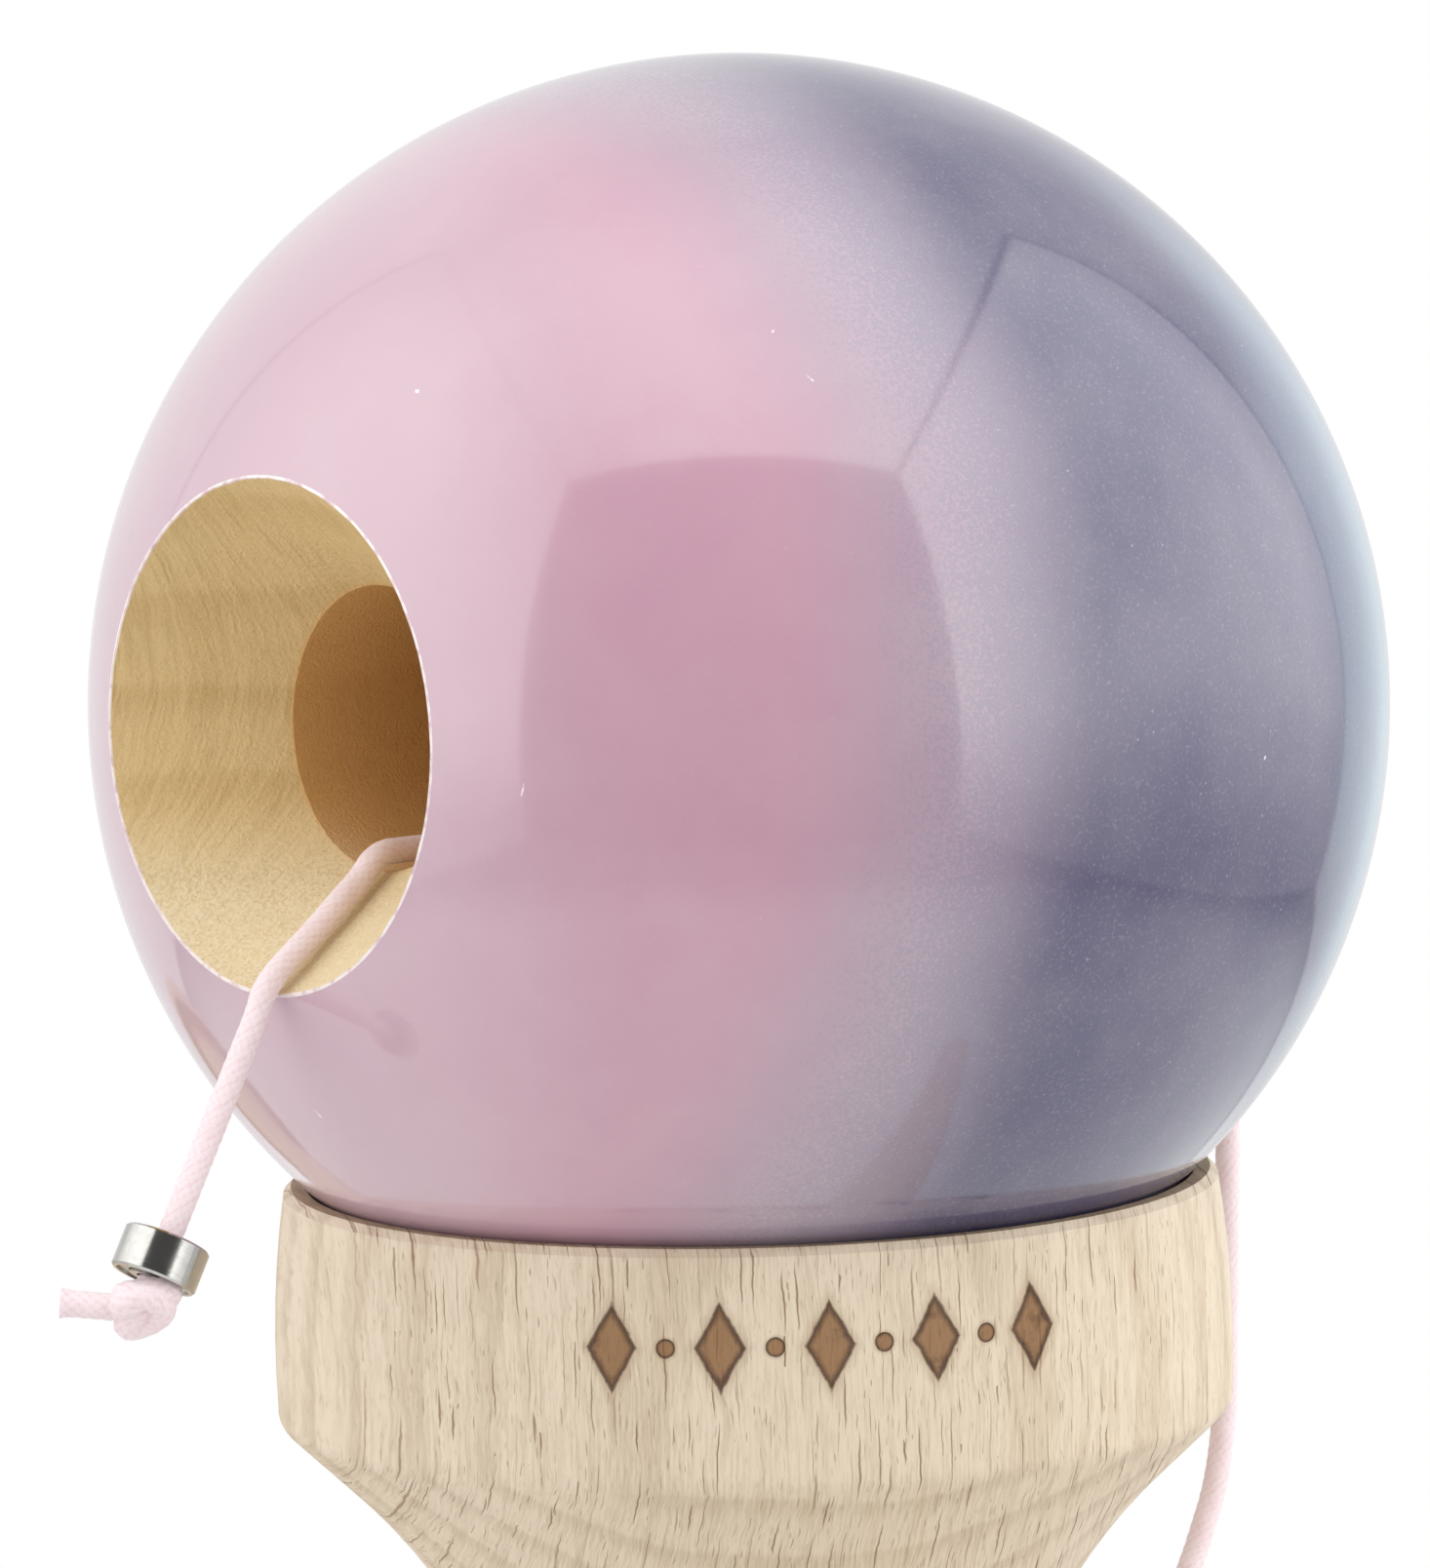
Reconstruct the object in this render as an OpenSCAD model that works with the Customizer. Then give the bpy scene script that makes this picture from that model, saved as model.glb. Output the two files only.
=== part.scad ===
// Cup and ball toy: a drilled ball on a turned cup block, a spiked handle through the block,
// and a cord that ends in a miniature ball bearing and a knot.
// The part stands on the small cup's rim. +Z runs up the cup block, +X along the spike.

/* [Ball] */
// Ball diameter
ball_d = 60; // [50:0.5:75]
// Radius of the spike hole at the ball's surface
mouth_r = 11.65; // [9:0.05:14]
// Depth of the bevel round the spike hole
bevel_depth = 6.6; // [3:0.1:9]
// Radius of the spike hole below the bevel
spike_hole_r = 6.5; // [5.5:0.1:8]
// Depth of the spike hole from its mouth
spike_hole_depth = 40; // [30:0.5:44]
// Radius of the string hole at the back of the ball
ball_string_hole_r = 1.5; // [1:0.1:2.5]
// Radius of the countersink round that hole
ball_sink_r = 2.6; // [2:0.1:4]
// How far the spike hole looks up from level, in degrees
ball_pitch = 2.7; // [0:0.1:10]

/* [Cup block] */
// Radius of the waist
waist_r = 10.9; // [9:0.1:14]
// Length of the straight waist between the two flares
waist_len = 10; // [6:0.5:20]
// Radius of the hollow flare under each cup
flare_r = 25; // [18:0.5:40]
// Largest radius of the large cup
big_outer_r = 22.2; // [19:0.1:28]
// Radius of the large cup's inner rim edge, where the ball sits
big_rim_r = 20.6; // [16:0.1:25]
// Height of the large cup's wall above its lower corner
big_wall = 10.4; // [7:0.1:16]
// Slope of the straight taper under the large cup, from upright, in degrees
big_lean = 46.5; // [40:0.5:48]
// Depth of the large cup's dish
big_dish = 10.6; // [8.5:0.1:13]
// Largest radius of the small cup
small_outer_r = 20.2; // [16:0.1:26]
// Radius of the small cup's inner rim edge
small_rim_r = 18.2; // [14:0.1:22]
// Height of the small cup's wall
small_wall = 9; // [6:0.1:14]
// Depth of the small cup's dish
small_dish = 9.4; // [6:0.1:12]
// Radius of the barrel curve of the cup walls
barrel_r = 50; // [40:1:120]
// Height of the widest line of each wall, as a share of the wall
barrel_share = 0.25; // [0:0.05:0.5]
// Rounding between each wall and its flare
corner_r = 1.2; // [0.5:0.1:2]
// Bevel of the rims' outer edges
rim_bevel = 0.3; // [0.2:0.1:1]
// Radius of the string hole in the waist
block_string_hole_r = 1.2; // [0.9:0.1:2]

/* [Ken] */
// From the cup block's axis to the base cup's rim
base_reach = 104; // [85:1:125]
// From the cup block's axis to the spike's tip
spike_reach = 63; // [50:1:75]
// Radius of the rounded tip
tip_r = 2.5; // [1.5:0.1:3.5]
// Radius on the spike side of the waist
spike_root_r = 6.3; // [5:0.1:7]
// Radius on the handle side of the waist
handle_root_r = 7.2; // [6:0.1:8]
// Largest radius of the grip
grip_r = 10.8; // [9:0.1:13]
// From the base cup's rim to the thickest part of the grip
grip_at = 43; // [34:0.5:60]
// Smallest radius above the base cup
neck_r = 8.7; // [7.5:0.1:10]
// Radius of the hollow flare under the base cup
base_flare_r = 10; // [9.2:0.1:14]
// Largest radius of the base cup
base_outer_r = 18.5; // [15:0.1:22]
// Radius of the base cup's inner rim edge
base_rim_r = 16.7; // [12:0.1:19]
// Height of the base cup's wall
base_wall = 5.5; // [4:0.1:9]
// Depth of the base cup's dish
base_dish = 8; // [5:0.1:10]
// Radius of the cross hole for the string
cross_hole_r = 1; // [0.8:0.1:1.5]
// Radius of the pocket that takes the knot
knot_pocket_r = 2.4; // [2:0.1:3]
// From the ken's axis to the floor of that pocket
knot_pocket_at = 1.4; // [1:0.1:3]

/* [String] */
// Cord diameter
cord_d = 1.2; // [0.9:0.1:1.6]
// Radius of the widest turn of each knot, at the cord's middle
knot_r = 1.15; // [0.9:0.05:1.4]
// Thickness of the cord where it is drawn tight in a knot
knot_cord_d = 1.15; // [0.9:0.05:1.4]
// Distance between the turns of each knot
knot_step = 0.75; // [0.6:0.05:0.9]
// Length of the cut end below the bearing
cut_end_len = 3.2; // [2:0.1:6]
// How far the tail leans out from plumb, in degrees
tail_lean = 29.5; // [15:0.5:40]
// Straight length of the tail from the ball's lip to the bearing's middle
tail_len = 13.2; // [12:0.1:20]
// Outer radius of the put away coil, at the cord's middle
coil_r = 8; // [7:0.1:10]
// Gap between neighbouring turns of the coil
coil_gap = 0.5; // [0.45:0.05:1]
// Turns in each of the coil's two layers
layer_turns = 1.625; // [1.125:0.5:2.125]
// Thickness of the coil's tie
tie_t = 0.3; // [0.2:0.05:0.6]
// Width of the tie
tie_w = 2; // [1:0.1:4]

/* [Bearing] */
// Bearing outside diameter
bearing_d = 4; // [3.6:0.1:6]
// Bearing bore
bearing_bore_d = 1.5; // [1.4:0.05:2]
// Bearing width
bearing_w = 2; // [1.8:0.1:2.5]
// Diameter of its balls
race_ball_d = 0.8; // [0.6:0.05:0.9]
// Wall of the inner and outer ring behind the ball groove
race_wall = 0.2; // [0.1:0.01:0.25]
// How deep the balls sit in each ring's groove
groove_depth = 0.16; // [0.1:0.01:0.2]
// Thickness of the shields
shield_t = 0.12; // [0.08:0.01:0.2]
// How far the shields sit in from the rings' faces
shield_inset = 0.1; // [0.05:0.01:0.2]

/* [Fits] */
// Gap between the ball and the rim it sits on
seat_gap = 0.1; // [0.05:0.05:0.5]
// Radial gap between the ken's taper and the cup block's bore
taper_gap = 0.05; // [0.02:0.01:0.1]
// Play between the bearing's balls and grooves
race_play = 0.02; // [0.01:0.005:0.03]
// Gap between the bearing's other pieces
ring_gap = 0.05; // [0.03:0.01:0.08]
// Gap between the bearing and the knot that holds it
knot_gap = 0.05; // [0.02:0.01:0.2]
// Gap between the tie and the coil
tie_gap = 0.15; // [0.1:0.05:0.4]

/* [Hidden] */
$fn = 96;
ball_r = ball_d / 2;
mouth_at = sqrt(ball_r ^ 2 - mouth_r ^ 2);
bevel_slope = (mouth_r - spike_hole_r) / bevel_depth;
drill_point = (spike_hole_r - ball_string_hole_r) * tan(31);

// middle of the rounded lower corner of a turned cup, from the axis and the end of its waist:
// a hollow flare, then a straight taper that leans from upright, then the corner and the wall
function corner_x(outer, wall) =
    outer - barrel_r + sqrt((barrel_r - corner_r) ^ 2 - (barrel_share * wall) ^ 2);
function taper_run(outer, wall, waist, flare, lean) =
    (corner_x(outer, wall) - waist - flare * (1 - cos(lean)) + corner_r * cos(lean)) / sin(lean);
function corner_at(outer, wall, waist, flare, lean) =
    (flare + corner_r) * sin(lean) + taper_run(outer, wall, waist, flare, lean) * cos(lean);
// lean that leaves only a short straight taper between the flare and the corner
function flare_lean(outer, wall, waist, flare) =
    acos((waist + flare - corner_x(outer, wall)) / (flare + corner_r)) - 3;
// length from the end of the waist to the rim, to a tenth of a millimetre
function cup_len(outer, wall, waist, flare, lean) =
    round(10 * (corner_at(outer, wall, waist, flare, lean) + wall)) / 10;
function dish_r(rim, depth) = (rim ^ 2 + depth ^ 2) / (2 * depth);

small_lean = flare_lean(small_outer_r, small_wall, waist_r, flare_r);
base_lean = flare_lean(base_outer_r, base_wall, neck_r, base_flare_r);
big_len = cup_len(big_outer_r, big_wall, waist_r, flare_r, big_lean);
small_len = cup_len(small_outer_r, small_wall, waist_r, flare_r, small_lean);
base_len = cup_len(base_outer_r, base_wall, neck_r, base_flare_r, base_lean);
block_len = small_len + waist_len + big_len;
ken_z = small_len + waist_len / 2;
ball_z = block_len + sqrt((ball_r + seat_gap) ^ 2 - big_rim_r ^ 2);

// the ken's taper goes on a little past the waist on both sides
taper_half = waist_r + 0.7;
taper_slope = (handle_root_r - spike_root_r) / (2 * waist_r);
function taper_at(x) = (handle_root_r + spike_root_r) / 2 - taper_slope * x;
handle_end_r = round(100 * taper_at(-taper_half)) / 100;

// bearing radii, from the ball pitch circle out and in
pitch_r = bearing_bore_d / 2 + race_wall + race_play + race_ball_d / 2;
inner_shoulder_r = pitch_r - race_ball_d / 2 + groove_depth;
outer_shoulder_r = pitch_r + race_ball_d / 2 - groove_depth;
shield_seat_r = outer_shoulder_r + 0.12;
shield_z = bearing_w / 2 - shield_inset - shield_t;
ring_chamfer = 0.1;
race_balls = 6;

// tail of the string: over the lip of the spike hole, then straight to the bearing and the knot
tail_x = 1;
tail_dir = [0, -sin(tail_lean), -cos(tail_lean)];
lip = [tail_x, -mouth_at * cos(ball_pitch) - mouth_r * sin(ball_pitch),
       ball_z + mouth_at * sin(ball_pitch) - mouth_r * cos(ball_pitch)];
lip_gap = 0.15;
tail_top = lip + (cord_d / 2 + lip_gap) * [0, -cos(tail_lean), sin(tail_lean)];
bearing_at = tail_top + tail_len * tail_dir;
tail_end = tail_len + bearing_w / 2 + knot_gap;
knot_half = knot_step + knot_cord_d / 2 + 0.05;
ken_knot_top = -knot_pocket_at - 0.1;
cut_end_tilt = 84;
cut_end_turn = 230;

// route through the ball, from X = drop_x to tail_x, measured from the ball's centre
drop_x = -2.2;
inner_route = [
    [drop_x, 31.6, -10], [drop_x, 31.6, -8], [-2.1, 31.5, -6], [-1.7, 31.2, -4.4],
    [-1.1, 30.6, -3.1], [-0.5, 29.6, -2.2], [-0.2, 28.2, -1.7], [0, 26, -1.4],
    [0, 22, -1.2], [0, 18, -1.1], [0, 15, -1.4], [0, 12, -2.2], [0, 9, -3.3], [0, 6, -4.3],
    [0, 3, -5], [0, 0, -5.4], [0, -4, -5.4], [0, -9, -5.2], [0, -14, -5], [0.1, -18, -4.7],
    [0.3, -20.6, -4.6], [0.4, -21.4, -4.6], [0.5, -22.2, -4.9], [0.6, -23, -5.6], [0.8, -24.5, -6.6],
    [0.9, -26, -7.7], [tail_x, -27.5, -8.7], [tail_x, -28.4, -9.4], [tail_x, -29, -10.1]
];
tail_steps = [1.4, 3, 5, 7, 9, 11, tail_len, tail_end];
tail_route = concat([for (p = inner_route) p + [0, 0, ball_z]],
                    [for (s = tail_steps) tail_top + s * tail_dir]);

// route down the back of the toy, from the tail's start to the coil
drop_bottom = 6;
drop_route = [
    [drop_x, 31.6, ball_z - 10], [drop_x, 31.6, 77], [drop_x, 31.6, 71], [drop_x, 31.4, 65],
    [drop_x, 31.2, 60], [drop_x, 31, 56], [drop_x, 30.3, 52.4], [drop_x, 29.1, 49.6],
    [drop_x, 27.8, 47], [-2.1, 26.7, 44], [-2, 26, 40.5], [-1.9, 25.7, 36], [-1.8, 25.6, 30],
    [-1.8, 25.6, 24], [-1.8, 25.6, 18], [-1.8, 25.6, 12], [-1.8, 25.6, drop_bottom]
];

// coil on the table: in at the lower layer, out at the upper
coil_x = -9.8;
coil_y = 30.4;
layer_z = [cord_d / 2 + tie_t + tie_gap, cord_d * 1.5 + tie_t + tie_gap + coil_gap];
coil_pitch = cord_d + coil_gap;
coil_steps = 24;
climb_turns = 0.5;
coil_turns = 2 * layer_turns + climb_turns;
function ease(u) = let (c = min(max(u, 0), 1)) c * c * (3 - 2 * c);
function coil_radius(t) = coil_r - coil_pitch * min(t, coil_turns - t);
function coil_height(t) =
    layer_z[0] + (layer_z[1] - layer_z[0]) * ease((t - layer_turns) / climb_turns);
function coil_point(t) =
    [coil_x + coil_radius(t) * cos(360 * t), coil_y + coil_radius(t) * sin(360 * t), coil_height(t)];
coil_loops = [for (i = [0 : coil_turns * coil_steps]) coil_point(i / coil_steps)];
// the drop comes down and turns level before the first loop
coil_bend = 2.8;
coil_entry = [
    [coil_x + coil_r, coil_y - 2 - coil_bend, drop_bottom],
    [coil_x + coil_r, coil_y - 2 - coil_bend, layer_z[0] + coil_bend],
    for (a = [20 : 20 : 80])
        [coil_x + coil_r, coil_y - 2 - coil_bend * cos(a), layer_z[0] + coil_bend * (1 - sin(a))],
    [coil_x + coil_r, coil_y - 2, layer_z[0]]
];
coil_end = coil_point(coil_turns);
coil_exit = coil_end + [cord_d, 0, 0];
coil_route = concat(coil_entry, coil_loops, [coil_exit]);

// route from the coil up the small cup's side to the waist and into the ken
riser_route = [
    coil_exit, coil_exit + [cord_d, 0, 0], [-5.6, 22.4, 2.9], [-3.6, 22.3, 3.2], [-1.9, 22.1, 4],
    [-0.7, 21.8, 5.4], [-0.2, 21.5, 7.4], [0, 21.4, 10], [0, 21.3, 12], [0, 20.9, 13.8],
    [0, 19.9, 15.2], [0, 18.4, 16.6], [0, 16.9, 18.4], [0, 15.7, 20.4], [0, 15, 23], [0, 15, 26],
    [0, 15.3, 28.6], [0, 15.3, 30.8], [0, 14.6, 32.6], [0, 13.2, 33.7], [0, 11.4, ken_z],
    [0, 8, ken_z], [0, 4, ken_z], [0, 0, ken_z], [0, ken_knot_top, ken_z]
];

beech = [0.85, 0.74, 0.58];
pink = [0.82, 0.66, 0.72];
cord_pink = [0.93, 0.78, 0.78];
steel = [0.72, 0.73, 0.75];
brass = [0.78, 0.62, 0.34];
paper = [0.9, 0.88, 0.82];

// neighbouring curves run this far into each other, so that they cross and don't only touch
lap = 0.005;

// half outline of a turned cup, from the end of its waist up to its rim
module cup_outline(outer, rim, wall, dish, waist, flare, lean) {
    height = cup_len(outer, wall, waist, flare, lean);
    run = taper_run(outer, wall, waist, flare, lean);
    taper_start = [waist + flare - (flare - lap) * cos(lean), (flare - lap) * sin(lean)];
    taper_end = taper_start + run * [sin(lean), cos(lean)];
    corner = [corner_x(outer, wall), corner_at(outer, wall, waist, flare, lean)];
    barrel = [outer - barrel_r, corner.y + barrel_share * wall];
    wall_foot = corner.y - corner_r * (barrel.y - corner.y) / (barrel_r - corner_r);
    rim_out = barrel.x + sqrt(barrel_r ^ 2 - (height - barrel.y) ^ 2) - rim_bevel;
    difference() {
        union() {
            polygon([[0, 0], [waist + 1, 0], taper_start, taper_end, corner, [0, corner.y]]);
            translate(corner) circle(corner_r + 2 * lap);
            intersection() {
                polygon([
                    [0, wall_foot], [outer + 1, wall_foot], [outer + 1, height - (outer + 1 - rim_out)],
                    [rim_out, height], [0, height]
                ]);
                translate(barrel) circle(barrel_r);
            }
        }
        translate([waist + flare, 0]) circle(flare);
        translate([0, height - dish + dish_r(rim, dish)]) circle(dish_r(rim, dish));
    }
}

// half outline that swells smoothly from one radius to a larger one
module swell(from_r, to_r, length) {
    rise = to_r - from_r;
    bend = ceil(10 * (length ^ 2 / rise + rise) / 4) / 10 + 0.1;
    middle = [(from_r + to_r) / 2, length / 2];
    difference() {
        union() {
            polygon([[0, 0], [from_r + 1, 0], middle, [0, middle.y]]);
            intersection() {
                translate([0, middle.y - 1]) square([to_r, middle.y + 1]);
                translate([to_r - bend, length]) circle(bend);
            }
        }
        translate([from_r + bend, 0]) circle(bend);
    }
}

// tube swept along a route, with its normal carried from point to point
function unit(v) = v / norm(v);
function tangents(p) =
    [for (i = [0 : len(p) - 1]) unit(p[min(i + 1, len(p) - 1)] - p[max(i - 1, 0)])];
function carried(t, n, i = 0) =
    i == len(t) ? [] : let (m = unit(n - (n * t[i]) * t[i])) concat([m], carried(t, m, i + 1));
module tube(route, sides) {
    along = tangents(route);
    across = carried(along, abs(along[0].x) < 0.9 ? [1, 0, 0] : [0, 1, 0]);
    rings = [for (i = [0 : len(route) - 1]) for (k = [0 : sides - 1])
        route[i] + cord_d / 2 * (cos(360 * k / sides) * across[i]
                                 + sin(360 * k / sides) * cross(along[i], across[i]))];
    last = (len(route) - 1) * sides;
    skin = [for (i = [0 : len(route) - 2]) for (k = [0 : sides - 1])
        let (a = i * sides + k, b = i * sides + (k + 1) % sides)
        each [[a, a + sides, b], [b, a + sides, b + sides]]];
    caps = [for (k = [1 : sides - 2]) each [[0, k, k + 1], [last, last + k + 1, last + k]]];
    polyhedron(rings, concat(skin, caps), convexity = 8);
}

// least gap of a tube to itself, between points more than a third of a turn apart
function least_gap(p, apart) =
    min([for (i = [0 : len(p) - 1]) for (j = [i + apart : 1 : len(p) - 1]) norm(p[i] - p[j])]) - cord_d;
function route_length(p) = len(p) < 2 ? 0 : [for (i = 1, s = norm(p[1] - p[0]); i < len(p);
    s = s + (i + 1 < len(p) ? norm(p[i + 1] - p[i]) : 0), i = i + 1) s][len(p) - 2];
echo(coil_least_gap = least_gap(coil_route, 8));
echo(cord_length = route_length(riser_route) + route_length(coil_route) + route_length(drop_route)
     + route_length(tail_route));

// stopper knot drawn tight: a stack of turns round the cord, which enters at the top
module knot() {
    rotate_extrude() {
        translate([0, -knot_half]) square([cord_d / 2, 2 * knot_half]);
        for (turn = [-1 : 1])
            translate([knot_r - 0.2 * abs(turn), knot_step * turn]) circle(knot_cord_d / 2, $fn = 32);
        translate([0, -knot_step]) square([knot_r - 0.2, 2 * knot_step]);
    }
}

module along_tail() {
    translate(bearing_at) rotate([-tail_lean, 0, 0]) children();
}

module ken() {
    color(beech)
    translate([0, 0, ken_z])
    difference() {
        translate([-base_reach, 0, 0]) rotate([0, 90, 0]) rotate_extrude() {
            translate([0, base_len]) mirror([0, 1])
                cup_outline(base_outer_r, base_rim_r, base_wall, base_dish, neck_r, base_flare_r,
                            base_lean);
            translate([0, base_len]) swell(neck_r, grip_r, grip_at - base_len);
            translate([0, base_reach - taper_half]) mirror([0, 1])
                swell(handle_end_r, grip_r, base_reach - taper_half - grip_at);
            polygon([
                [0, base_reach - taper_half],
                [handle_end_r, base_reach - taper_half],
                [taper_at(taper_half), base_reach + taper_half],
                [tip_r, base_reach + spike_reach - tip_r],
                [0, base_reach + spike_reach - tip_r]
            ]);
            intersection() {
                translate([0, base_reach + spike_reach - tip_r]) square(tip_r);
                translate([0, base_reach + spike_reach - tip_r]) circle(tip_r);
            }
        }
        rotate([90, 0, 0]) cylinder(h = 4 * handle_root_r, r = cross_hole_r, center = true);
        translate([0, -knot_pocket_at, 0]) rotate([90, 0, 0])
            cylinder(h = 2 * handle_root_r, r = knot_pocket_r);
    }
}

module cup_block() {
    color(beech)
    difference() {
        rotate_extrude() {
            translate([0, small_len]) mirror([0, 1])
                cup_outline(small_outer_r, small_rim_r, small_wall, small_dish, waist_r, flare_r,
                            small_lean);
            translate([0, small_len]) square([waist_r, waist_len]);
            translate([0, small_len + waist_len])
                cup_outline(big_outer_r, big_rim_r, big_wall, big_dish, waist_r, flare_r, big_lean);
        }
        translate([-2 * waist_r, 0, ken_z]) rotate([0, 90, 0])
            cylinder(h = 4 * waist_r, r1 = taper_at(-2 * waist_r) + taper_gap,
                     r2 = taper_at(2 * waist_r) + taper_gap);
        translate([0, 0, ken_z]) rotate([-90, 0, 0]) cylinder(h = 2 * waist_r, r = block_string_hole_r);
        translate([0, waist_r - 0.8, ken_z]) rotate([-90, 0, 0])
            cylinder(h = 2, r1 = block_string_hole_r, r2 = block_string_hole_r + 2);
    }
}

module ball() {
    floor_at = mouth_at - spike_hole_depth;
    sink_depth = ball_sink_r - ball_string_hole_r;
    color(pink)
    translate([0, 0, ball_z]) rotate([90 - ball_pitch, 0, 0]) rotate_extrude() difference() {
        intersection() {
            circle(ball_r, $fn = 180);
            translate([0, -ball_r]) square([ball_r, 2 * ball_r]);
        }
        polygon([
            [0, ball_r + 1],
            [mouth_r + bevel_slope * (ball_r + 1 - mouth_at), ball_r + 1],
            [spike_hole_r, mouth_at - bevel_depth],
            [spike_hole_r, floor_at],
            [ball_string_hole_r, floor_at - drill_point],
            [ball_string_hole_r, sink_depth - ball_r],
            [ball_sink_r + 1, -ball_r - 1],
            [0, -ball_r - 1]
        ]);
    }
}

module string_riser() {
    color(cord_pink) tube(riser_route, 8);
}

module string_coil() {
    color(cord_pink) tube(coil_route, 6);
}

module string_drop() {
    color(cord_pink) tube(drop_route, 8);
}

module string_tail() {
    color(cord_pink) tube(tail_route, 8);
}

// flat band round both layers of the coil, on its far side
module string_tie() {
    turns = [for (t = [0.25 : 1 : coil_turns]) coil_radius(t)];
    inside = [max(turns) - min(turns) + cord_d + 2 * tie_gap, 2 * cord_d + coil_gap + 2 * tie_gap];
    color(paper)
    translate([coil_x - tie_w / 2, coil_y + (max(turns) + min(turns)) / 2, tie_t + inside.y / 2])
    rotate([90, 0, 90]) linear_extrude(tie_w) difference() {
        square(inside + [2 * tie_t, 2 * tie_t], center = true);
        square(inside, center = true);
    }
}

module ken_knot() {
    color(cord_pink)
    translate([0, ken_knot_top - knot_half, ken_z]) rotate([-90, 0, 0]) knot();
}

module end_knot() {
    color(cord_pink)
    translate(tail_top + (tail_end + knot_half) * tail_dir) {
        rotate([-tail_lean, 0, 0]) knot();
        rotate([0, cut_end_tilt, cut_end_turn])
            cylinder(h = knot_r + cut_end_len, r = cord_d / 2, $fn = 32);
    }
}

module bearing_outer_ring() {
    color(steel)
    along_tail() rotate_extrude() difference() {
        polygon([
            [outer_shoulder_r, -bearing_w / 2], [bearing_d / 2 - ring_chamfer, -bearing_w / 2],
            [bearing_d / 2, -bearing_w / 2 + ring_chamfer], [bearing_d / 2, bearing_w / 2 - ring_chamfer],
            [bearing_d / 2 - ring_chamfer, bearing_w / 2], [outer_shoulder_r, bearing_w / 2]
        ]);
        translate([pitch_r, 0]) circle(race_ball_d / 2 + race_play, $fn = 48);
        for (end = [-1, 1])
            translate([0, end * (shield_z + bearing_w / 2)])
                square([2 * shield_seat_r, bearing_w], center = true);
    }
}

module bearing_inner_ring() {
    color(steel)
    along_tail() rotate_extrude() difference() {
        translate([bearing_bore_d / 2, -bearing_w / 2])
            square([inner_shoulder_r - bearing_bore_d / 2, bearing_w]);
        translate([pitch_r, 0]) circle(race_ball_d / 2 + race_play, $fn = 48);
    }
}

module bearing_shield(end) {
    color(steel)
    along_tail() translate([0, 0, end * (shield_z + shield_t / 2)]) difference() {
        cylinder(h = shield_t - 0.01, r = shield_seat_r - 0.01, center = true);
        cylinder(h = 1, r = inner_shoulder_r + ring_gap, center = true);
    }
}

// crown cage: a ring with a round pocket for each ball, open on one side
module bearing_cage() {
    color(brass)
    along_tail() difference() {
        translate([0, 0, -shield_z + ring_gap])
            cylinder(h = shield_z - ring_gap + race_ball_d / 4, r = outer_shoulder_r - ring_gap);
        cylinder(h = 2 * bearing_w, r = inner_shoulder_r + ring_gap, center = true);
        for (i = [1 : race_balls])
            rotate(360 * i / race_balls) translate([pitch_r, 0, 0])
                sphere(race_ball_d / 2 + race_play, $fn = 32);
    }
}

module bearing_ball(i) {
    color(steel)
    along_tail() rotate(360 * i / race_balls) translate([pitch_r, 0, 0]) sphere(race_ball_d / 2, $fn = 32);
}

ken();
cup_block();
ball();
string_riser();
string_coil();
string_drop();
string_tail();
string_tie();
ken_knot();
end_knot();
bearing_outer_ring();
bearing_inner_ring();
bearing_shield(1);  // bearing_shield_upper
bearing_shield(-1);  // bearing_shield_lower
bearing_cage();
for (i = [1 : race_balls])
    bearing_ball(i);
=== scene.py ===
import math
import bpy
import numpy as np
from mathutils import Matrix, Vector


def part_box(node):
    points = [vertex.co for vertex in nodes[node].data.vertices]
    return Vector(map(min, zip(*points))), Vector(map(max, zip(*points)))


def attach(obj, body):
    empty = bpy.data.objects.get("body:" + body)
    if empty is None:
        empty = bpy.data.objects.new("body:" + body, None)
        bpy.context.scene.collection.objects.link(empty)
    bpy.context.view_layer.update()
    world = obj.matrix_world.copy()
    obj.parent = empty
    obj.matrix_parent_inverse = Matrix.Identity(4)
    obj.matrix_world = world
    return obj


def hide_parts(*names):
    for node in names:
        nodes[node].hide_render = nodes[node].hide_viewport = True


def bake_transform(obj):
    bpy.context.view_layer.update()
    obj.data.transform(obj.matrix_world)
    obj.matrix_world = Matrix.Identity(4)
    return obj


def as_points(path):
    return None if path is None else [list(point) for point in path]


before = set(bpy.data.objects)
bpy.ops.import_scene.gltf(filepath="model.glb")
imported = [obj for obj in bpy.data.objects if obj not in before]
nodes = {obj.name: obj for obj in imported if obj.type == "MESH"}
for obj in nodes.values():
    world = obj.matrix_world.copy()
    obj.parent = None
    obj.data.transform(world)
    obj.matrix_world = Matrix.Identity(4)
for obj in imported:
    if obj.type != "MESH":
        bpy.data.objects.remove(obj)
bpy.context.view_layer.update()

mm = 0.001
zAxis = Vector((0, 0, 1))

# places in the toy, in mm, as the solids have them
toy = {
    "ballRadius": 30.0, "ballHeight": 93.2465, "ballPitch": 2.7, "mouthRadius": 11.65, "kenHeight": 34.0,
    "cupRadius": 22.2, "tailTop": (1.0, -28.8164, 83.2811), "tailLean": 29.5,
    "tailLength": 13.2, "tailEnd": 14.25,
}
ballCentre = Vector((0, 0, toy["ballHeight"])) * mm
lean = math.radians(toy["tailLean"])
tailWay = Vector((0, -math.sin(lean), -math.cos(lean)))
bearingCentre = (Vector(toy["tailTop"]) + toy["tailLength"] * tailWay) * mm


# camera: long lens, the spike hole to the left, a little above the rim
shot = {
    "azimuth": 50.3, "elevation": 7.6, "roll": 1.4, "distance": 700.0,
    "ballRight": 1.10, "ballUp": 3.70, "lens": 348.45, "sensor": 36.0,
}


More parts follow.
